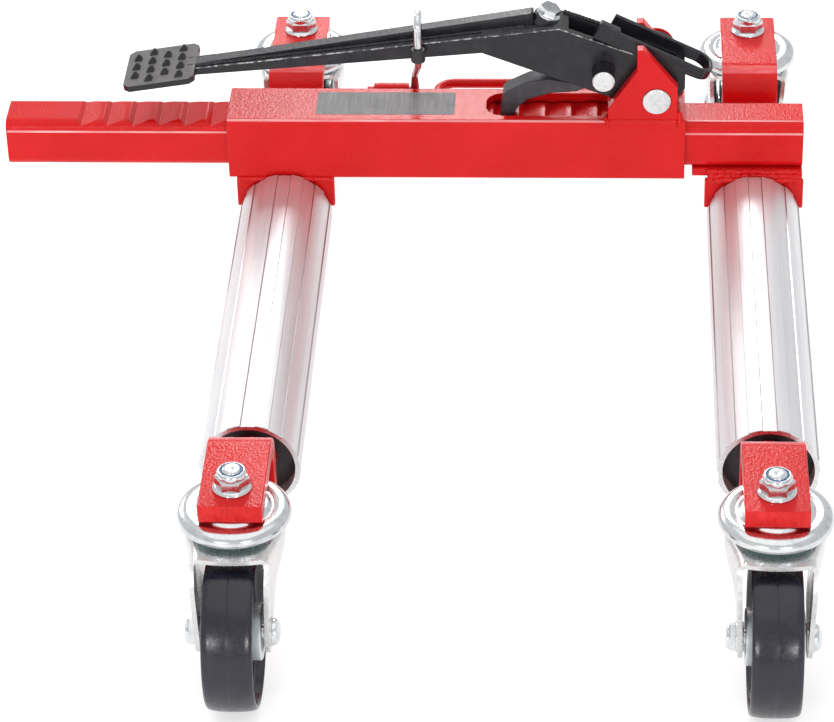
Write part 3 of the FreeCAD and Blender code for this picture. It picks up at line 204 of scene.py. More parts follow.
INSERT = material("nut_insert", (0.03, 0.11, 0.26), 0.0, 0.42,
                  [((0.05, 0.17, 0.36), 300, 0.4, 0.7)], [(500, 0.1, 0.0002)])
FOIL = material("blank_foil", (0.27, 0.262, 0.27), 0.0, 0.55,
                [((0.36, 0.355, 0.36), (900, 30, 40), 0.45, 0.7), ((0.22, 0.215, 0.22), 60, 0.45, 0.75)],
                [((900, 40, 300), 0.10, 0.0002)], spec=0.12)
FLOOR = material("pale_floor", (0.60, 0.60, 0.60), 0.0, 0.6, [((0.58, 0.58, 0.58), 3, 0.3, 0.7)])
glow = FLOOR.node_tree.nodes["Principled BSDF"].inputs
glow["Emission Color"].default_value = (1, 1, 1, 1)
glow["Emission Strength"].default_value = 0.55
SLOT_MAT = {"red_paint": RED, "bright_steel": STEEL, "spring_steel": SPRING, "aluminium": ALU,
            "nylon": NYLON, "black_paint": BLACK, "dark_steel": PHOSPHATE, "zinc": ZINC,
            "race_seal": RACE, "black_wheel": WHEEL}


# Making pieces
def add(name, mesh, node=None, body=None, mats=None):
    """Puts a mesh in the scene as a piece that stands for a CAD node, or rides on a body as extra detail."""
    piece = bpy.data.objects.new(name, mesh)
    bpy.context.scene.collection.objects.link(piece)
    for mat in mats or [SLOT_MAT[SLOT_OF[node]]]:
        mesh.materials.append(mat)
    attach(piece, body or BODY_OF[node])
    if node:
        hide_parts(node)
    return piece


def put(name, bm, node=None, body=None, mats=None, angle=35):
    """Turns a bmesh into a piece that is smooth, except over edges sharper than the angle in degrees."""
    bmesh.ops.recalc_face_normals(bm, faces=bm.faces)
    mesh = bpy.data.meshes.new(name)
    bm.to_mesh(mesh)
    bm.free()
    mesh.shade_smooth()
    mesh.set_sharp_from_angle(angle=math.radians(angle))
    return add(name, mesh, node, body, mats)


def bevel(piece, width):
    """Softens the sharp edges of a piece by a width in millimetres."""
    edge = piece.modifiers.new("edge", "BEVEL")
    edge.width = width * MM
    edge.segments = 2
    edge.limit_method = "ANGLE"
    edge.angle_limit = math.radians(32)
    flat = piece.modifiers.new("flat_faces", "WEIGHTED_NORMAL")
    flat.keep_sharp = True
    return piece


def dress(node, width, mats=None, angle=35):
    """A welded copy of a CAD node with softened edges."""
    bm = bmesh.new()
    bm.from_mesh(NODES[node].data)
    bmesh.ops.remove_doubles(bm, verts=bm.verts, dist=1e-6)
    bmesh.ops.dissolve_limit(bm, angle_limit=math.radians(0.5), verts=bm.verts, edges=bm.edges)
    piece = put(node + "_skin", bm, node, mats=mats, angle=angle)
    for face in piece.data.polygons:
        face.material_index = 0
    return bevel(piece, width)


def disc(radius, count):
    """Points of a circle round the origin."""
    turns = [2 * math.pi * k / count for k in range(count)]
    return [(radius * math.cos(turn), radius * math.sin(turn)) for turn in turns]


def rounded(points, radius, steps=4):
    """A closed outline with each corner replaced by a small arc."""
    out = []
    for i, corner in enumerate(points):
        here = Vector(corner)
        before = Vector(points[i - 1]) - here
        after = Vector(points[(i + 1) % len(points)]) - here
        reach = min(radius, before.length * 0.45, after.length * 0.45)
        if reach < 1e-6 or before.normalized().dot(after.normalized()) < -0.995:
            out.append(corner)
            continue
        start, end = here + before.normalized() * reach, here + after.normalized() * reach
        for k in range(steps + 1):
            t = k / steps
            spot = start * (1 - t) ** 2 + here * 2 * t * (1 - t) + end * t ** 2
            out.append((spot.x, spot.y))
    return out


def mirrored(half):
    """A profile of (radius, along) followed by its mirror image."""
    return half + [(radius, -along) for radius, along in reversed(half)]


def lathe(bm, profile, axis, centre, segments, index=0, soft=0.4, closed=True):
    """Turns a profile of (radius, along) in millimetres round an axis through a centre."""
    points = rounded(profile, soft, 3) if soft else profile
    turn = Vector(ALONG_Z).rotation_difference(Vector(axis)).to_matrix().to_4x4()
    place = Matrix.Translation(Vector(centre) * MM) @ turn
    rows = []
    for radius, along in points:
        ring = [(0, 0)] if radius < 1e-6 else disc(radius * MM, segments)
        rows.append([bm.verts.new(place @ Vector((u, v, along * MM))) for u, v in ring])
    following = rows[1:] + rows[:1] if closed else rows[1:]
    for a, b in zip(rows, following):
        for k in range(segments):
            n = (k + 1) % segments
            ring = [a[k % len(a)], a[n % len(a)], b[n % len(b)], b[k % len(b)]]
            unique = list(dict.fromkeys(ring))
            if len(unique) > 2:
                bm.faces.new(unique).material_index = index


def prism(bm, outline, low, high, place):
    """Extrudes a closed outline (u, v) in millimetres from low to high; place maps (u, v, w) to the frame."""
    bottom, top = [[bm.verts.new(place @ (Vector((u, v, depth)) * MM)) for u, v in outline]
                   for depth in (low, high)]
    bm.faces.new(bottom)
    bm.faces.new(top)
    for k in range(len(outline)):
        n = (k + 1) % len(outline)
        bm.faces.new([bottom[k], bottom[n], top[n], top[k]])


def bend_path(corners, radius, steps=8):
    """A path through the corners with each turned on an arc."""
    path = [Vector(corners[0])]
    for before, here, after in zip(corners, corners[1:], corners[2:]):
        before, here, after = Vector(before), Vector(here), Vector(after)
        come, leave = (here - before).normalized(), (after - here).normalized()
        half = come.angle(leave) / 2
        off = radius * math.tan(half)
        centre = here + (leave - come).normalized() * (radius / math.cos(half))
        start = here - come * off - centre
        axis = come.cross(leave).normalized()
        for k in range(steps + 1):
            path.append(centre + Matrix.Rotation(2 * half * k / steps, 3, axis) @ start)
    path.append(Vector(corners[-1]))
    return path


def sweep(bm, path, section, scale=None):
    """Sweeps a closed section (u, v) in millimetres along a path in millimetres, without twisting."""
    rows = []
    normal = None
    for i, spot in enumerate(path):
        ahead = (path[min(i + 1, len(path) - 1)] - path[max(i - 1, 0)]).normalized()
        if normal is None:
            aside = Vector(ALONG_Z) if abs(ahead.z) < 0.9 else Vector(ALONG_Y)
            normal = aside.cross(ahead).normalized()
        else:
            normal = (normal - ahead * normal.dot(ahead)).normalized()
        binormal = ahead.cross(normal)
        size = scale(i) if scale else 1.0
        rows.append([bm.verts.new((spot + normal * u * size + binormal * v * size) * MM) for u, v in section])
    count = len(section)
    for a, b in zip(rows, rows[1:]):
        for k in range(count):
            n = (k + 1) % count
            bm.faces.new([a[k], a[n], b[n], b[k]])
    bm.faces.new(rows[0])
    bm.faces.new(rows[-1])


# Rings of the sweep in one ripple of a weld bead
RIPPLE = 4


def bead(bm, points, radius, seed, step=3.0, stray=0.12):
    """A weld bead of ripples, a step apart, along a run of points in millimetres."""
    chance = random.Random(seed)
    path, sizes = [], []
    for a, b in zip(points, points[1:]):
        a, b = Vector(a), Vector(b)
        parts = max(2, int((b - a).length / step * RIPPLE))
        path += [a.lerp(b, k / parts) for k in range(parts)]
    path.append(Vector(points[-1]))
    for k, spot in enumerate(path):
        spot += Vector([chance.uniform(-stray, stray) for _ in range(3)])
        swell = 0.84 + 0.2 * math.sin(math.pi * (k % RIPPLE) / RIPPLE)
        end = 0.6 if k in (0, len(path) - 1) else 1.0
        sizes.append(swell * chance.uniform(0.94, 1.06) * end)
    sweep(bm, path, disc(radius, 12), scale=lambda i: sizes[i])


def loop(centre, radius, count=28):
    """Points of a closed ring round a line along Y."""
    ring = disc(radius, count)
    return [Vector(centre) + Vector((u, 0, v)) for u, v in ring + ring[:1]]


# Tubes, ears, saddles, arms and pawls: softened copies of the solids
dress("inner_tube", 0.3, angle=11)
for node, width in (("outer_tube", 0.5), ("front_ear", 0.9), ("rear_ear", 0.9), ("left_saddle", 1.2),
                    ("right_saddle", 1.2), ("right_spacer", 0.8), ("keeper_barrel", 0.4)):
    dress(node, width)
# The arms' sawn ends, above this height, take their own paint, and a band round their bends takes a painted
# highlight
ARM_END_LOW = 118
for name, x, way in CORNERS:
    arm = dress(name + "_arm", 1.4, mats=[RED, RED_CUT, RED_BEND_HIGHLIGHT])
    for face in arm.data.polygons:
        outward = face.normal.y * way
        if outward > 0.9 and face.center.z / MM > ARM_END_LOW:
            face.material_index = 1
        # Faces of the bend that tilt toward the roller get the painted highlight
        elif outward < -0.2 and 0.84 < face.normal.z < 0.97:
            face.material_index = 2
for node in ("drive_pawl", "holding_pawl"):
    dress(node, 0.9)

# Rollers: a fluted extrusion with sawn ends, on bushes and a collared axle
FLUTES, CREST, VALLEY, BORE = 11, 33.2, 32.45, 29.6
FLUTE_SHARES = (0.03, 0.2, 0.4, 0.6, 0.8, 0.97)
ROLLER_FRONT, ROLLER_BACK, END_BREAK, END_SIZE = -195.0, 114.0, 0.4, 0.988
BUSH_FRONT, BUSH_BACK, BUSH_LONG, BUSH_DISH = -183.0, 102.0, 12, 9
AXLE_R, COLLAR_R, AXLE_HALF, PLAY, FIT = 11, 17, 220, 0.5, 0.05
COLLAR_END = 116.5


def roller_ring(bm, x, outline, y, size=1.0):
    """One ring of a roller's vertices at a place along its axle."""
    return [bm.verts.new(Vector((x + u * size, y, AXLE_Z + v * size)) * MM) for u, v in outline]


for side, x in SIDES:
    flutes = []
    for k in range(2 * FLUTES):
        radius = CREST if k % 2 else VALLEY
        for share in FLUTE_SHARES:
            angle = math.pi / 2 + (k - 0.5 + share) * (math.pi / FLUTES)
            flutes.append((radius * math.cos(angle), radius * math.sin(angle)))
    bore = [(BORE * math.cos(math.atan2(v, u)), BORE * math.sin(math.atan2(v, u))) for u, v in flutes]
    bm = bmesh.new()
    rows = [roller_ring(bm, x, flutes, y, size)
            for y, size in ((ROLLER_BACK, END_SIZE), (ROLLER_BACK - END_BREAK, 1.0),
                            (ROLLER_FRONT + END_BREAK, 1.0), (ROLLER_FRONT, END_SIZE))]
    inner = [roller_ring(bm, x, bore, y) for y in (ROLLER_FRONT, ROLLER_BACK)]
    bands = list(zip(rows, rows[1:], (1, 0, 1)))
    bands += [(rows[-1], inner[0], 1), (inner[0], inner[1], 0), (inner[1], rows[0], 1)]
    for a, b, index in bands:
        for k in range(len(flutes)):
            n = (k + 1) % len(flutes)
            # Each flute's step face takes the darker material as painted shade
            step = a is rows[1] and (k + 1) % len(FLUTE_SHARES) == 0
            bm.faces.new([a[k], a[n], b[n], b[k]]).material_index = 2 if step else index
    put(side + "_roller_skin", bm, side + "_roller", mats=[ALU, ALU_CUT, FLUTE_STEP_SHADE], angle=22)

    bm = bmesh.new()
    for start, way in ((BUSH_FRONT, -1), (BUSH_BACK, 1)):
        end, dish = start - BUSH_LONG * way, start - BUSH_DISH * way
        lathe(bm, [(AXLE_R + FIT, start), (29.5, start), (29.5, end), (26, end), (25, dish), (15, dish),
                   (14, end), (AXLE_R + FIT, end)], ALONG_Y, (x, 0, AXLE_Z), 72)
    put(side + "_bushes_skin", bm, side + "_roller_bushes")
    bm = bmesh.new()
    lathe(bm, [(0, -AXLE_HALF), (COLLAR_R, -AXLE_HALF), (COLLAR_R, BUSH_FRONT - PLAY),
               (AXLE_R, BUSH_FRONT - PLAY), (AXLE_R, BUSH_BACK + PLAY), (COLLAR_R, BUSH_BACK + PLAY),
               (COLLAR_R, COLLAR_END), (AXLE_R, COLLAR_END), (AXLE_R, AXLE_HALF), (0, AXLE_HALF)],
          ALONG_Y, (x, 0, AXLE_Z), 64, closed=False)
    put(side + "_axle_skin", bm, side + "_axle")

# Caster forks: each is one pressed sheet folded over the wheel, measured from the stem toward the wheel
CROWN_TOP, CROWN_FRONT, CROWN_BOW, CROWN_HALF, CROWN_HOLE = 109.0, 40.5, 3.2, 24, 8.6
CROWN_BACK, CROWN_ROUND, ROUND_HALF = -25.0, 31.0, 18
CROWN_START, ROUND_START = 88.0, 103.0
LEG_FLARE, LEG_HALF, LEG_END, FOLD, SHEET = math.radians(1.6), 23.1, 13.0, 6.0, 3.0
FOOT_BACK, FOOT_Z = 28.4, 42.0
BEND_BACK, BEND_LOW, BEND_Z, BEND_HIGH = -6.7, 65.0, 77.0, 92.0
SPREAD, SPREAD_LOW, SPREAD_RISE, SPREAD_FRONT, SPREAD_BACK = 0.27, 55.0, 42.0, 38.0, 25.0
FORK_STEPS = 28


def ease(share):
    """A share from 0 to 1 with a soft start and end."""
    return share * share * (3 - 2 * share)


def fork_section():
    """The folded section as (across, height), from the foot of one leg over the crown to the other."""
    heights = [HUB_Z - LEG_END * math.cos(math.radians(7 + 83 * k / 9)) for k in range(10)]
    heights += [HUB_Z + (CROWN_TOP - FOLD - HUB_Z) * k / 20 for k in range(1, 21)]
    half = [(LEG_HALF + (z - HUB_Z) * math.tan(LEG_FLARE), z) for z in heights]
    flat = half[-1][0] - FOLD
    for angle in (15, 30, 45, 60, 75):
        turn = math.radians(angle)
        half.append((flat + FOLD * math.cos(turn), CROWN_TOP - FOLD + FOLD * math.sin(turn)))
    half += [(flat * (1 - k / 12), CROWN_TOP) for k in range(13)]
    return half + [(-u, z) for u, z in reversed(half[:-1])]


def fork_edges(u, z):
    """Back and front edge of the sheet."""
    foot = math.sqrt(max(0.0, LEG_END ** 2 - (z - HUB_Z) ** 2))
    front = TRAIL + foot if z < HUB_Z + LEG_END * 0.2 else TRAIL + LEG_END * 0.98
    if z > CROWN_START:
        bow = CROWN_BOW * (1 - min(1.0, abs(u) / CROWN_HALF) ** 2)
        front += (CROWN_FRONT + bow - front) * ease((z - CROWN_START) / (CROWN_TOP - CROWN_START))
    if z < FOOT_Z:
        back = TRAIL - foot
    elif z < BEND_LOW:
        back = FOOT_BACK + (CROWN_BACK - FOOT_BACK) * (z - FOOT_Z) / (BEND_Z - FOOT_Z)
    elif z < BEND_HIGH:
        rise, curl = BEND_Z - BEND_LOW, BEND_HIGH - 2 * BEND_Z + BEND_LOW
        t = (math.sqrt(rise ** 2 + curl * (z - BEND_LOW)) - rise) / curl
        back = BEND_BACK * (1 - t) ** 2 + 2 * CROWN_BACK * t * (1 - t) + CROWN_BACK * t * t
    else:
        bulge = math.sqrt(CROWN_ROUND ** 2 - min(abs(u), ROUND_HALF) ** 2) + CROWN_BACK
        back = CROWN_BACK - bulge * max(0.0, (z - ROUND_START) / (CROWN_TOP - ROUND_START))
    return back, front


def fork_spread(y, z):
    """How far the sheet is pressed outward round the bearing, as a share of its width at the front."""
    near = max(0.0, 1 - y / SPREAD_FRONT) if y > 0 else 1 - 0.5 * (y / SPREAD_BACK) ** 2
    high = min(1.0, max(0.0, (z - SPREAD_LOW) / SPREAD_RISE))
    return 1 + SPREAD * ease(near) * ease(high)


def fork_mesh(name, x, way):
    """The outer face of a fork, with a hole in the crown for the stem."""
    bm = bmesh.new()
    rows = []
    for u, z in fork_section():
        back, front = fork_edges(u, z)
        depths = [back + (front - back) * k / FORK_STEPS for k in range(FORK_STEPS + 1)]
        rows.append([bm.verts.new(Vector((x + u * fork_spread(y, z), way * (STEM_Y + y), z)) * MM)
                     for y in depths])
    for a, b in zip(rows, rows[1:]):
        for k in range(FORK_STEPS):
            middle = (a[k].co + b[k + 1].co) / (2 * MM)
            from_stem = math.hypot(middle.x - x, middle.y - way * STEM_Y)
            if middle.z < CROWN_TOP - 0.1 or from_stem > CROWN_HOLE:
                ring = [a[k], a[k + 1], b[k + 1], b[k]]
                bm.faces.new(ring if way < 0 else ring[:1] + ring[:0:-1])
    bmesh.ops.delete(bm, geom=[v for v in bm.verts if not v.link_faces], context="VERTS")
    bm.normal_update()
    if sum(face.normal.z for face in bm.faces) < 0:
        bmesh.ops.reverse_faces(bm, faces=bm.faces)
    mesh = bpy.data.meshes.new(name)
    bm.to_mesh(mesh)
    bm.free()
    mesh.shade_smooth()
    return mesh


# Casters: profiles of (radius, height) round the stem and of (radius, along) round the wheel's axle
STEM_R, BOLT_R = 6.0, 5.0
STEM_BORE, BOLT_BORE = STEM_R + FIT, BOLT_R + FIT
CAP = [(STEM_BORE, 121.5), (20.6, 121.5), (22.0, 121.0), (23.2, 120.0), (24.6, 119.6), (26.4, 119.9),
       (29.2, 120.2), (31.8, 119.8), (34.0, 118.7), (35.5, 116.8), (36.0, 114.4), (35.8, 112.8),
       (35.0, 112.1), (33.9, 112.5), (33.0, 115.4), (31.0, 117.6), (STEM_BORE, 118.3)]
RACE_RING = [(STEM_BORE, 118.3), (23.0, 118.3), (23.0, 116.6), (24.0, 115.8), (24.0, 112.4),
             (23.2, 111.6), (21.4, 110.6), (21.4, 109.3), (STEM_BORE, 109.3)]
TYRE = mirrored([(8.05, 13.0), (17.4, 13.0), (18.4, 9.6), (42.4, 9.2), (44.6, 10.6), (45.4, 14.8),
                 (46.4, 15.9), (47.6, 15.6), (48.7, 14.2), (49.3, 11.8), (49.68, 9.0), (49.9, 4.5),
                 (49.98, 0.5), (49.75, 0.15)])
HUB_RING = mirrored([(BOLT_BORE, 17.6), (10.0, 17.6), (11.0, 18.2), (17.2, 18.2), (18.0, 17.5),
                     (18.0, 9.5), (8.0, 9.5)])
SEAT_IN, SEAT_OUT, SEAT_R = 19.2, 24.0, 9.5
BOLT_SHANK = [(0, -30.0), (4.2, -30.0), (BOLT_R, -29.2), (BOLT_R, 24.6), (0, 24.6)]
BOLT_HEAD = [(BOLT_R, 24.1), (8.6, 24.1), (8.6, 25.2), (8.0, 26.8), (6.2, 28.2), (3.4, 29.0), (0, 29.2)]
BOLT_NUT = [(BOLT_R, -24.1), (9.2, -24.1), (9.2, -27.4), (8.4, -28.4), (BOLT_R, -28.4)]
BOLT_RING = [(BOLT_R, -28.2), (7.4, -28.2), (7.2, -29.4), (6.4, -29.9), (BOLT_R, -29.9)]

for name, x, way in CORNERS:
    stem = (x, way * STEM_Y, 0)
    bm = bmesh.new()
    lathe(bm, CAP, ALONG_Z, stem, 112, soft=0.9)
    put(name + "_cap_skin", bm, name + "_cap", angle=50)
    bm = bmesh.new()
    lathe(bm, RACE_RING, ALONG_Z, stem, 96, soft=0.5)
    put(name + "_race_skin", bm, name + "_race")
    fork = add(name + "_fork_skin", fork_mesh(name + "_fork_skin", x, way), name + "_fork", mats=[FORK])
    sheet = fork.modifiers.new("sheet", "SOLIDIFY")
    sheet.thickness = SHEET * MM
    sheet.offset = -1.0
    sheet.use_even_offset = True
    bevel(fork, 0.6)

    hub = (x, way * (STEM_Y + TRAIL), HUB_Z)
    bm = bmesh.new()
    for hand in (-1, 1):
        lathe(bm, [(5.1, hand * SEAT_IN), (SEAT_R, hand * SEAT_IN), (SEAT_R, hand * SEAT_OUT),
                   (5.1, hand * SEAT_OUT)], ALONG_X, hub, 48, soft=0.3)
    put(name + "_fork_seats", bm, body=name + "_swivel", mats=[FORK])
    bm = bmesh.new()
    lathe(bm, TYRE, ALONG_X, hub, 128, soft=0.5)
    put(name + "_wheel_skin", bm, name + "_wheel", angle=50)
    bm = bmesh.new()
    lathe(bm, HUB_RING, ALONG_X, hub, 72)
    put(name + "_hub_skin", bm, name + "_hub", mats=[HUB])
    bm = bmesh.new()
    lathe(bm, BOLT_SHANK, ALONG_X, hub, 32, closed=False)
    lathe(bm, BOLT_HEAD, ALONG_X, hub, 48, soft=0.0, closed=False)
    lathe(bm, BOLT_NUT, ALONG_X, hub, 6, soft=0.0)
    lathe(bm, BOLT_RING, ALONG_X, hub, 40, soft=0.3)
    put(name + "_axle_bolt_skin", bm, name + "_axle_bolt", angle=30)

# Stems and flange nuts, as (radius, height)
STEM = [(0, 99.2), (9.5, 99.2), (9.5, 105.2), (STEM_R, 105.2), (STEM_R, 147.0), (5.1, 148.0), (0, 148.0)]
NUT_FLANGE = [(STEM_BORE, 133.5), (12.5, 133.5), (12.4, 134.9), (10.6, 136.4), (STEM_BORE, 136.4)]
NUT_HEX = [(STEM_BORE, 135.5), (10.97, 135.5), (10.97, 142.2), (9.9, 143.2), (STEM_BORE, 143.2)]
NUT_NECK = [(STEM_BORE, 142.5), (9.2, 142.5), (9.2, 145.6), (8.4, 146.9), (7.4, 147.0), (7.3, 146.0),
            (STEM_BORE, 146.0)]
NUT_INSERT = [(6.04, 144.5), (7.3, 144.5), (7.3, 146.5), (6.04, 146.7)]
for side, x in SIDES:
    stems, nuts = bmesh.new(), bmesh.new()
    for way in (-1, 1):
        stem = (x, way * STEM_Y, 0)
        lathe(stems, STEM, ALONG_Z, stem, 40, closed=False)
        lathe(nuts, NUT_FLANGE, ALONG_Z, stem, 64)
        lathe(nuts, NUT_HEX, ALONG_Z, stem, 6, soft=0.0)
        lathe(nuts, NUT_NECK, ALONG_Z, stem, 64)
        lathe(nuts, NUT_INSERT, ALONG_Z, stem, 48, index=1)
    put(side + "_stems_skin", stems, side + "_caster_stems", angle=30)
    put(side + "_nuts_skin", nuts, side + "_caster_nuts", mats=[ZINC, INSERT], angle=28)

# Pins, collar, washer and return spring, measured along Y from the tubes' middle plane
PIN_R, PIN_FRONT, PIN_BACK = 10, -25.5, 60
PAWL_PIN_R, PAWL_PIN_FRONT, PAWL_PIN_BACK, PIN_BREAK = 8.0, -30, 16, 0.8
PIN_BORE = PIN_R + FIT
COIL_R, WIRE_R, COIL_START, COIL_LONG, TURNS, TURN_STEPS, COIL_TAIL = 13.2, 1.6, 25.9, 28.2, 6, 32, 3.2
bm = bmesh.new()
lathe(bm, [(0, PIN_FRONT), (PIN_R - PIN_BREAK, PIN_FRONT), (PIN_R, PIN_FRONT + PIN_BREAK),
           (PIN_R, PIN_BACK), (0, PIN_BACK)], ALONG_Y, PIVOT, 64, closed=False)
put("main_pin_skin", bm, "main_pin")
bm = bmesh.new()
lathe(bm, [(0, PAWL_PIN_FRONT), (PAWL_PIN_R - PIN_BREAK, PAWL_PIN_FRONT),
           (PAWL_PIN_R, PAWL_PIN_FRONT + PIN_BREAK), (PAWL_PIN_R, PAWL_PIN_BACK), (0, PAWL_PIN_BACK)],
      ALONG_Y, PAWL, 64, closed=False)
pin = put("pawl_pin_skin", bm, "pawl_pin", mats=[STEEL, BLACK])
for face in pin.data.polygons:
    if face.center.y / MM > PAWL.y + PAWL_PIN_FRONT + PIN_BREAK:
        face.material_index = 1
bm = bmesh.new()
lathe(bm, [(PIN_BORE, 56), (13.8, 56), (13.2, 59), (12.2, PIN_BACK), (PIN_BORE, PIN_BACK)],
      ALONG_Y, PIVOT, 64, soft=0.8)
put("collar_skin", bm, "spring_collar")
bm = bmesh.new()
lathe(bm, [(PIN_BORE, 24.0), (17.0, 24.0), (17.0, 24.5), (16.4, 24.9), (PIN_BORE, 24.9)],
      ALONG_Y, PIVOT, 64, soft=0.3)
put("spring_washer", bm, body="frame", mats=[RED])
coil = []
for k in range(TURNS * TURN_STEPS + 1):
    angle = 2 * math.pi * k / TURN_STEPS
    along = COIL_START + COIL_LONG / TURNS * k / TURN_STEPS
    coil.append(PIVOT + Vector((COIL_R * math.cos(angle), along, COIL_R * math.sin(angle))))
head = coil[0] + (coil[0] - coil[1]).normalized() * COIL_TAIL
tail = coil[-1] + (coil[-1] - coil[-2]).normalized() * COIL_TAIL
bm = bmesh.new()
sweep(bm, [head] + coil + [tail], disc(WIRE_R, 14))
put("return_spring_skin", bm, "return_spring")

# Pedal lever: head with cheeks, tapering arm whose top is worn and lighter with painted light from above,
# scuffed pad
ARM_FAR, ARM_NEAR, ARM_HALF, PAD_NEAR, PAD_AREA = -330, -80, 13.6, -326, 60
lever = dress("pedal_lever", 0.9, mats=[BLACK, WORN_TOP_AND_PAINTED_LIGHT, TREAD])
for face in lever.data.polygons:
    spot = face.center / MM - PIVOT
    # The arm's upward faces: worn, and lighter as painted light from above
    if face.normal.z > 0.8 and abs(spot.y) < ARM_HALF and ARM_FAR < spot.x < ARM_NEAR:
        face.material_index = 1
    elif face.normal.z > 0.9 and spot.x < PAD_NEAR and face.area > PAD_AREA * MM * MM:
        face.material_index = 2

# Foot pad: a thinner plate with its teeth set in columns
PAD_THICK, PAD_TRIM, PAD_HALF, PAD_TILT = 6.0, 1.6, 25.5, math.radians(9)
PAD_BASE = PIVOT + Vector((-349.5, 0, 8.8))
PAD_ALONG = Vector((math.cos(PAD_TILT), 0, math.sin(PAD_TILT)))
PAD_UP = Vector((-math.sin(PAD_TILT), 0, math.cos(PAD_TILT)))
SOLID_TOOTH, TOOTH, TOOTH_SUNK, TOOTH_LEAN = 3.7, 3.4, 0.3, 1.1
COLUMN_STEP, ROW_STEP, COLUMN_SHIFT = 10.8, 12.3, -2.0
bm = bmesh.new()
bm.from_mesh(lever.data)
on_top = set()
for vertex in bm.verts:
    spot = vertex.co / MM - PAD_BASE
    rise = spot.dot(PAD_UP)
    if abs(spot.dot(PAD_ALONG)) < PAD_HALF + 0.3:
        if -0.12 < rise - PAD_THICK < SOLID_TOOTH:
            on_top.add(vertex)
        elif abs(rise) < 0.05:
            vertex.co += PAD_UP * PAD_TRIM * MM
bmesh.ops.delete(bm, geom=[face for face in bm.faces if on_top.issuperset(face.verts)], context="FACES")
rim = [edge for edge in bm.edges if edge.is_boundary]
for face in bmesh.ops.holes_fill(bm, edges=rim, sides=0)["faces"]:
    face.material_index = 2
bm.to_mesh(lever.data)
bm.free()
bm = bmesh.new()
for column, count in enumerate((3, 4, 3, 4)):
    for row in range(count):
        along, across = COLUMN_STEP * (column - 1.5) + COLUMN_SHIFT, ROW_STEP * (row - (count - 1) / 2)
        rings = []
        for rise, long_half, wide_half, lean in ((PAD_THICK - TOOTH_SUNK, 3.2, 3.0, 0.0),
                                                 (PAD_THICK + TOOTH, 0.9, 0.6, TOOTH_LEAN)):
            middle = PAD_BASE + PAD_ALONG * (along + lean) + PAD_UP * rise + Vector((0, across + lean, 0))
            corners = [middle + PAD_ALONG * u * long_half + Vector((0, v * wide_half, 0))
                       for u, v in ((-1, -1), (1, -1), (1, 1), (-1, 1))]
            rings.append([bm.verts.new(corner * MM) for corner in corners])
        for ring in rings:
            bm.faces.new(ring)
        for k in range(4):
            n = (k + 1) % 4
            bm.faces.new([rings[0][k], rings[0][n], rings[1][n], rings[1][k]])
bevel(put("pad_teeth", bm, body="pedal_lever", mats=[BLACK], angle=30), 0.35)

# Release strap: taller than the solid, with its legs drawn down to the lever
STRAP_HIGH, STRAP_GROWTH, STRAP_LEAN, LEG_DROP = 7.0, 1.4, math.radians(26.5), math.radians(5.5)
STRAP_BASE = PIVOT + Vector((0, 0, 25.94))
STRAP_UP = Vector((math.sin(STRAP_LEAN), 0, math.cos(STRAP_LEAN)))
STRAP_ALONG = Vector((math.cos(STRAP_LEAN), 0, -math.sin(STRAP_LEAN)))
strap = dress("release_strap", 0.7)
for vertex in strap.data.vertices:
    spot = vertex.co / MM - STRAP_BASE
    along, rise = spot.dot(STRAP_ALONG), spot.dot(STRAP_UP)
    if abs(rise) < 0.1 and along < -1:
        vertex.co += STRAP_UP * (along * math.tan(LEG_DROP)) * MM
    elif abs(rise - STRAP_HIGH) < 0.1:
        vertex.co += STRAP_UP * STRAP_GROWTH * MM

# Beads of the lever, and painted highlight lines along its edges, measured from the pivot
FLANGE_X, FLANGE_Z, FLANGE_SLOPE = -117, 45.5, 0.1379
HEAD_X, HEAD_Z, HEAD_SLOPE = 19.9, 18.6, 0.3839
STEP_LOW, STEP_HIGH = 50.5, 58.4
EDGE_LINE = [(-331, 8.0, 15.9), (-123, 13.6, 45.0), (-84.9, 13.7, 49.8), (-68.9, 13.7, 51.9),
             (-2, 13.7, 26.2)]


def lever_bead(bm, points, radius, seed, step):
    """A bead along points that are measured from the pivot."""
    bead(bm, [PIVOT + Vector(point) for point in points], radius, seed, step)


bm = bmesh.new()
for hand in (-1, 1):
    lever_bead(bm, [(x, hand * 5.3, FLANGE_Z + (x - FLANGE_X) * FLANGE_SLOPE + 0.6)
                    for x in (-92, FLANGE_X, -190, -262, -331)], 1.5, 40 + hand, 2.2)
    lever_bead(bm, [(-87.6, hand * 4.4, z) for z in (STEP_LOW, STEP_HIGH)], 1.2, 44 + hand, 2.2)
lever_bead(bm, [(-87.4, y, STEP_HIGH + 0.2) for y in (-4, 4)], 1.1, 47, 2.2)
lever_bead(bm, [(x, 12.4, HEAD_Z + (HEAD_X - x) * HEAD_SLOPE) for x in (-66, -34)], 1.8, 48, 2.6)
put("lever_beads", bm, body="pedal_lever", mats=[BLACK], angle=60)
# Thin pale beads along the edges: painted highlight lines
bm = bmesh.new()
for hand in (-1, 1):
    lever_bead(bm, [(x, hand * y, z) for x, y, z in EDGE_LINE], 0.5, 50 + hand, 5.0)
put("lever_edge_highlights", bm, body="pedal_lever", mats=[EDGE_HIGHLIGHT], angle=60)

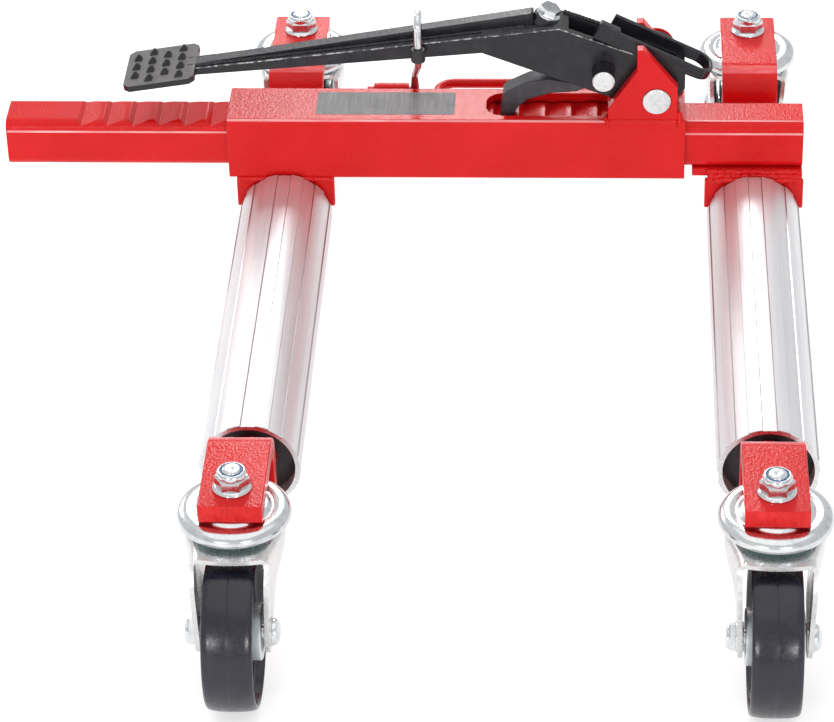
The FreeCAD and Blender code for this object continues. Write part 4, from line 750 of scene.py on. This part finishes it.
# Weld beads on the frame: round the ears, the keeper's barrel and the handle's feet
HANDLE_XS, HANDLE_Z, HANDLE_R = (21.5, 128.5), 138.5, 3.5
frame_beads, slide_beads = bmesh.new(), bmesh.new()
for y, radius in ((OUTER_FRONT + 0.4, 1.7), (FRONT_EAR_IN + 0.1, 1.4),
                  (REAR_EAR_IN - 0.1, 1.4), (OUTER_BACK - 0.4, 1.7)):
    bead(frame_beads, [(x, y, OUTER_TOP + 0.3) for x in (EAR_START, EAR_END)], radius, int(y))
for low, high in ((OUTER_FRONT + 0.5, FRONT_EAR_IN - 0.5), (REAR_EAR_IN + 0.5, OUTER_BACK - 0.5)):
    bead(frame_beads, [(EAR_END + 1.6, y, OUTER_TOP + 1.0) for y in (low, high)], 3.0, int(low), 3.4)
    bead(frame_beads, [(EAR_START - 1.6, y, OUTER_TOP + 0.4) for y in (low, high)], 2.2, int(high), 2.6)
bead(frame_beads, [(EAR_END + 1.4, OUTER_FRONT + 1.9, OUTER_TOP + 7.5),
                   (EAR_END + 1.6, OUTER_FRONT + 0.9, OUTER_TOP - 4.5)], 2.1, 33, 3.2)
bead(frame_beads, [(EAR_START - 1.1, OUTER_FRONT + 1.1, OUTER_TOP + 1.5),
                   (EAR_START - 0.7, OUTER_FRONT + 0.2, OUTER_TOP - 4.5)], 1.8, 34, 2.8)
bead(frame_beads, [(x, OUTER_BACK + 0.7, KEEPER_Z - 3.6) for x in (-22.5, 0.5)], 1.3, 21)
for x in HANDLE_XS:
    bead(frame_beads, loop((x, OUTER_BACK + 0.6, HANDLE_Z), HANDLE_R + 0.6), 1.3, int(x), 2.4)

# Weld beads at the saddles and arms, and the thick weld between the slide and the right saddle
SADDLE_FRONT_HALF, SADDLE_BACK_HALF = 34, 26
ARM_WELD_HALF, ARM_WELD_LOW, ARM_WELD_HIGH = 20.4, 60, 106
SPACER_LOW, SPACER_HIGH = 108.3, 113.9
THICK_WELD_XS = (215, 232, 256, 282)
THICK_WELD_ROWS = ((117.3, 107.6), (119.0, 110.0), (121.0, 112.6))
for bm, x in ((frame_beads, LEFT_X), (slide_beads, RIGHT_X)):
    if x == LEFT_X:
        for y, half, seed in ((OUTER_FRONT + 0.3, SADDLE_FRONT_HALF, 176),
                              (OUTER_BACK + 0.3, SADDLE_BACK_HALF, 224)):
            bead(bm, [(x - half, y, OUTER_LOW - 0.4), (x + half, y, OUTER_LOW - 0.4)], 2.0, seed)
    bead(bm, loop((x, 1 - AXLE_HALF, AXLE_Z), COLLAR_R + 0.4), 2.2, 71 + int(x), 2.8)
    for hand in (-1, 1):
        bead(bm, [(x + hand * ARM_WELD_HALF, AXLE_HALF + 0.3, z)
                  for z in (ARM_WELD_LOW, ARM_WELD_HIGH)], 2.1, 80 + hand)
for start, end, z, seed in ((223, 274, SPACER_LOW, 267), (206, 281, SPACER_HIGH, 272)):
    bead(slide_beads, [(x, INNER_BACK + 0.3, z) for x in (start, end)], 1.5, seed)
for row, (y, z) in enumerate(THICK_WELD_ROWS):
    sway = ((0, 0), (-0.5, 0.4), (0, -0.4), (0, 0))
    run = [(x, y + aside, z + rise) for x, (aside, rise) in zip(THICK_WELD_XS, sway)]
    bead(slide_beads, run, 2.3, 230 + row, 6.0, stray=0.55)
put("frame_beads", frame_beads, body="frame", mats=[RED], angle=60)
put("slide_beads", slide_beads, body="slide", mats=[RED], angle=60)

# Ridge where the slide's rounded corner meets its face, just short of the slide's ends, in a painted
# highlight colour
HIGHLIGHT_START, HIGHLIGHT_END = -283.8, 281.8
RIDGE_LOW, RIDGE_HIGH, RIDGE_IN, RIDGE_OUT = 141.9, 143.5, 122.8, 122.1
bm = bmesh.new()
ridge = rounded([(RIDGE_OUT, RIDGE_LOW), (RIDGE_IN, RIDGE_LOW), (RIDGE_IN, RIDGE_HIGH),
                 (RIDGE_OUT, RIDGE_HIGH)], 0.35)
prism(bm, ridge, HIGHLIGHT_START, HIGHLIGHT_END, U_IS_Y_V_IS_Z)
put("slide_ridge_highlight", bm, body="slide", mats=[RED_HIGHLIGHT])


# Painted highlight lines along the front corner of the tubes
def corner_highlight(name, body, start, end, face, top, radius, first, last):
    """A thin skin of painted highlight over part of a tube's rounded front corner; angles in degrees from
    straight up.
    """
    arc = [math.radians(first + (last - first) * k / 6) for k in range(7)]
    band = [(face + radius - r * math.sin(a), top - radius + r * math.cos(a))
            for r, run in ((radius + 0.07, arc), (radius - 0.2, arc[::-1])) for a in run]
    bm = bmesh.new()
    prism(bm, band, start, end, U_IS_Y_V_IS_Z)
    put(name, bm, body=body, mats=[RED_HIGHLIGHT])


corner_highlight("outer_corner_highlight", "frame", -124.8, EAR_START - 2.5, OUTER_FRONT, OUTER_TOP, 3.0, 18, 52)
corner_highlight("inner_corner_highlight", "slide", 200.5, HIGHLIGHT_END, INNER_FRONT, INNER_TOP, 7.0, 4, 14)

# Ground toe of the front ear on the face of the outer tube
TOE_START, TOE_END, TOE_LOW, TOE_HIGH = 144.6, 192.9, 150.4, 158.0
bm = bmesh.new()
toe = rounded([(TOE_START, TOE_LOW), (TOE_END, TOE_LOW), (TOE_END, TOE_HIGH), (TOE_START, TOE_HIGH)], 3.0)
prism(bm, toe, OUTER_FRONT - 0.7, OUTER_FRONT + 0.9, U_IS_X_V_IS_Z)
bevel(put("front_ear_toe", bm, body="frame", mats=[RED]), 0.5)

# Lever bolt with its washer
BOLT_AT, BOLT_TILT = Vector((101.9, TUBE_Y, 227.84)), math.radians(21)
BOLT_AXIS = Vector((math.sin(BOLT_TILT), 0, math.cos(BOLT_TILT)))
bm = bmesh.new()
lathe(bm, [(0, -14), (4, -14), (4, 0), (8.5, 0), (8.5, 1.8), (0, 1.8)], BOLT_AXIS, BOLT_AT, 48, closed=False)
lathe(bm, [(0, 1.4), (7.5, 1.4), (7.5, 6.6), (6.6, 7.8), (0, 7.8)], BOLT_AXIS, BOLT_AT, 6,
      soft=0.0, closed=False)
bolt = put("lever_bolt_skin", bm, "lever_bolt", mats=[ZINC, BOLT], angle=30)
for face in bolt.data.polygons:
    if (face.center / MM - BOLT_AT).dot(BOLT_AXIS) > 7:
        face.material_index = 1

# Carry handle: a bent rod with softened ends
HANDLE_BACK, HANDLE_FOOT, HANDLE_TURN = 200.5, OUTER_BACK - 0.5, 12
path = bend_path([(HANDLE_XS[0], HANDLE_FOOT, HANDLE_Z), (HANDLE_XS[0], HANDLE_BACK, HANDLE_Z),
                  (HANDLE_XS[1], HANDLE_BACK, HANDLE_Z), (HANDLE_XS[1], HANDLE_FOOT, HANDLE_Z)], HANDLE_TURN)
start = path[0] + (path[1] - path[0]).normalized() * HANDLE_R * 0.25
end = path[-1] - (path[-1] - path[-2]).normalized() * HANDLE_R * 0.25
path = [path[0], start] + path[1:-1] + [end, path[-1]]
tips = (0, len(path) - 1)
bm = bmesh.new()
sweep(bm, path, disc(HANDLE_R, 20), scale=lambda i: 0.75 if i in tips else 1.0)
put("carry_handle_skin", bm, "carry_handle", angle=40)

# Keeper: from its hinge the rod leans to the sleeve, then hooks over the lever
KEEPER_R, KEEPER_FOOT_X, KEEPER_END_X, KEEPER_TOP, KEEPER_HOOK = 3.0, 6.0, -28.3, 234, 131.5
SLEEVE_Y, SLEEVE_LOW, SLEEVE_HIGH = 120.5, 203.0, 211.0
path = bend_path([(KEEPER_END_X, KEEPER_Y, KEEPER_Z), (KEEPER_FOOT_X, KEEPER_Y, KEEPER_Z),
                  (KEEPER_FOOT_X, KEEPER_Y, KEEPER_Z + 12.5), (KEEPER_X, SLEEVE_Y, SLEEVE_LOW - 4.5),
                  (KEEPER_X, SLEEVE_Y, SLEEVE_LOW)], 3, 8)
path += bend_path([(KEEPER_X, SLEEVE_Y, SLEEVE_LOW + 1), (KEEPER_X, SLEEVE_Y, KEEPER_TOP),
                   (KEEPER_X, KEEPER_HOOK, KEEPER_TOP)], 8, 10)
bm = bmesh.new()
sweep(bm, path, disc(KEEPER_R, 24),
      scale=lambda i: 0.8 if KEEPER_Z + 3 < path[i].z < SLEEVE_LOW + 0.5 else 1.0)
keeper = put("keeper_rod_skin", bm, "keeper_rod", mats=[ZINC, ROD_RED_REFLECTION], angle=40)
# Below the sleeve the rod is tinted red as a painted reflection of the red tube
for face in keeper.data.polygons:
    if face.center.z / MM < SLEEVE_LOW and face.center.x / MM > -20:
        face.material_index = 1
bm = bmesh.new()
lathe(bm, [(KEEPER_R + FIT, SLEEVE_LOW - 0.8), (4.7, SLEEVE_LOW - 0.8), (5.1, SLEEVE_LOW),
           (5.1, SLEEVE_HIGH), (4.7, SLEEVE_HIGH + 0.8), (KEEPER_R + FIT, SLEEVE_HIGH + 0.8)],
      ALONG_Z, (KEEPER_X, SLEEVE_Y, 0), 40)
put("keeper_sleeve_skin", bm, "keeper_sleeve")

# Blank foil on the top of the outer tube
FOIL_START, FOIL_END, FOIL_FRONT, FOIL_BACK, FOIL_THICK = -62.5, 36.0, 125.5, 156.5, 0.16
bm = bmesh.new()
outline = rounded([(FOIL_START, FOIL_FRONT), (FOIL_END, FOIL_FRONT), (FOIL_END, FOIL_BACK),
                   (FOIL_START, FOIL_BACK)], 2.0)
prism(bm, outline, 0.0, FOIL_THICK, Matrix.Translation((0, 0, OUTER_TOP * MM)))
put("blank_foil", bm, body="frame", mats=[FOIL])

# Floor and world, in metres
bpy.ops.mesh.primitive_plane_add(size=30, location=(0, 0, -0.0002))
floor = bpy.context.object
floor.name = "floor"
floor.data.materials.append(FLOOR)
world = bpy.data.worlds.new("studio")
bpy.context.scene.world = world
world.use_nodes = True
world.node_tree.nodes["Background"].inputs["Color"].default_value = (1, 1, 1, 1)
world.node_tree.nodes["Background"].inputs["Strength"].default_value = 0.8

# Softboxes as (place, width, height, power): one overhead, two in front, two behind
SOFTBOXES = [((0.0, -0.1, 2.9), 3.2, 3.2, 17),
             ((-1.1, -3.1, 1.1), 0.5, 0.45, 17),
             ((1.2, -3.1, 1.1), 0.5, 0.45, 16),
             ((-0.03, 1.95, 1.42), 0.58, 0.75, 15),
             ((-1.6, 1.9, 1.4), 0.9, 0.75, 10)]
AIM = Vector((0.05, 0.05, 0.1))
for place, wide, high, power in SOFTBOXES:
    lamp = bpy.data.lights.new("softbox", "AREA")
    lamp.shape = "RECTANGLE"
    lamp.size = wide
    lamp.size_y = high
    lamp.energy = power
    holder = bpy.data.objects.new("softbox", lamp)
    holder.location = place
    holder.rotation_euler = (AIM - Vector(place)).to_track_quat("-Z", "Y").to_euler()
    bpy.context.scene.collection.objects.link(holder)

# Camera, fitted to the photo: angles in radians, place in metres
YAW, PITCH, ROLL = -0.06271, 0.59997, -0.0284
EYE = Vector((0.1391, -2.0168, 1.41296))
ahead = Vector((math.sin(YAW) * math.cos(PITCH), math.cos(YAW) * math.cos(PITCH), -math.sin(PITCH)))
right = Vector((math.cos(YAW), -math.sin(YAW), 0))
up = right.cross(ahead)
across = right * math.cos(ROLL) + up * math.sin(ROLL)
upward = up * math.cos(ROLL) - right * math.sin(ROLL)
lens = bpy.data.cameras.new("camera")
lens.lens = 151.3
lens.sensor_width = 36
lens.clip_end = 50
camera = bpy.data.objects.new("camera", lens)
camera.matrix_world = Matrix.Translation(EYE) @ Matrix((across, upward, -ahead)).transposed().to_4x4()
bpy.context.scene.collection.objects.link(camera)
bpy.context.scene.camera = camera
bpy.context.scene.view_settings.view_transform = "Standard"
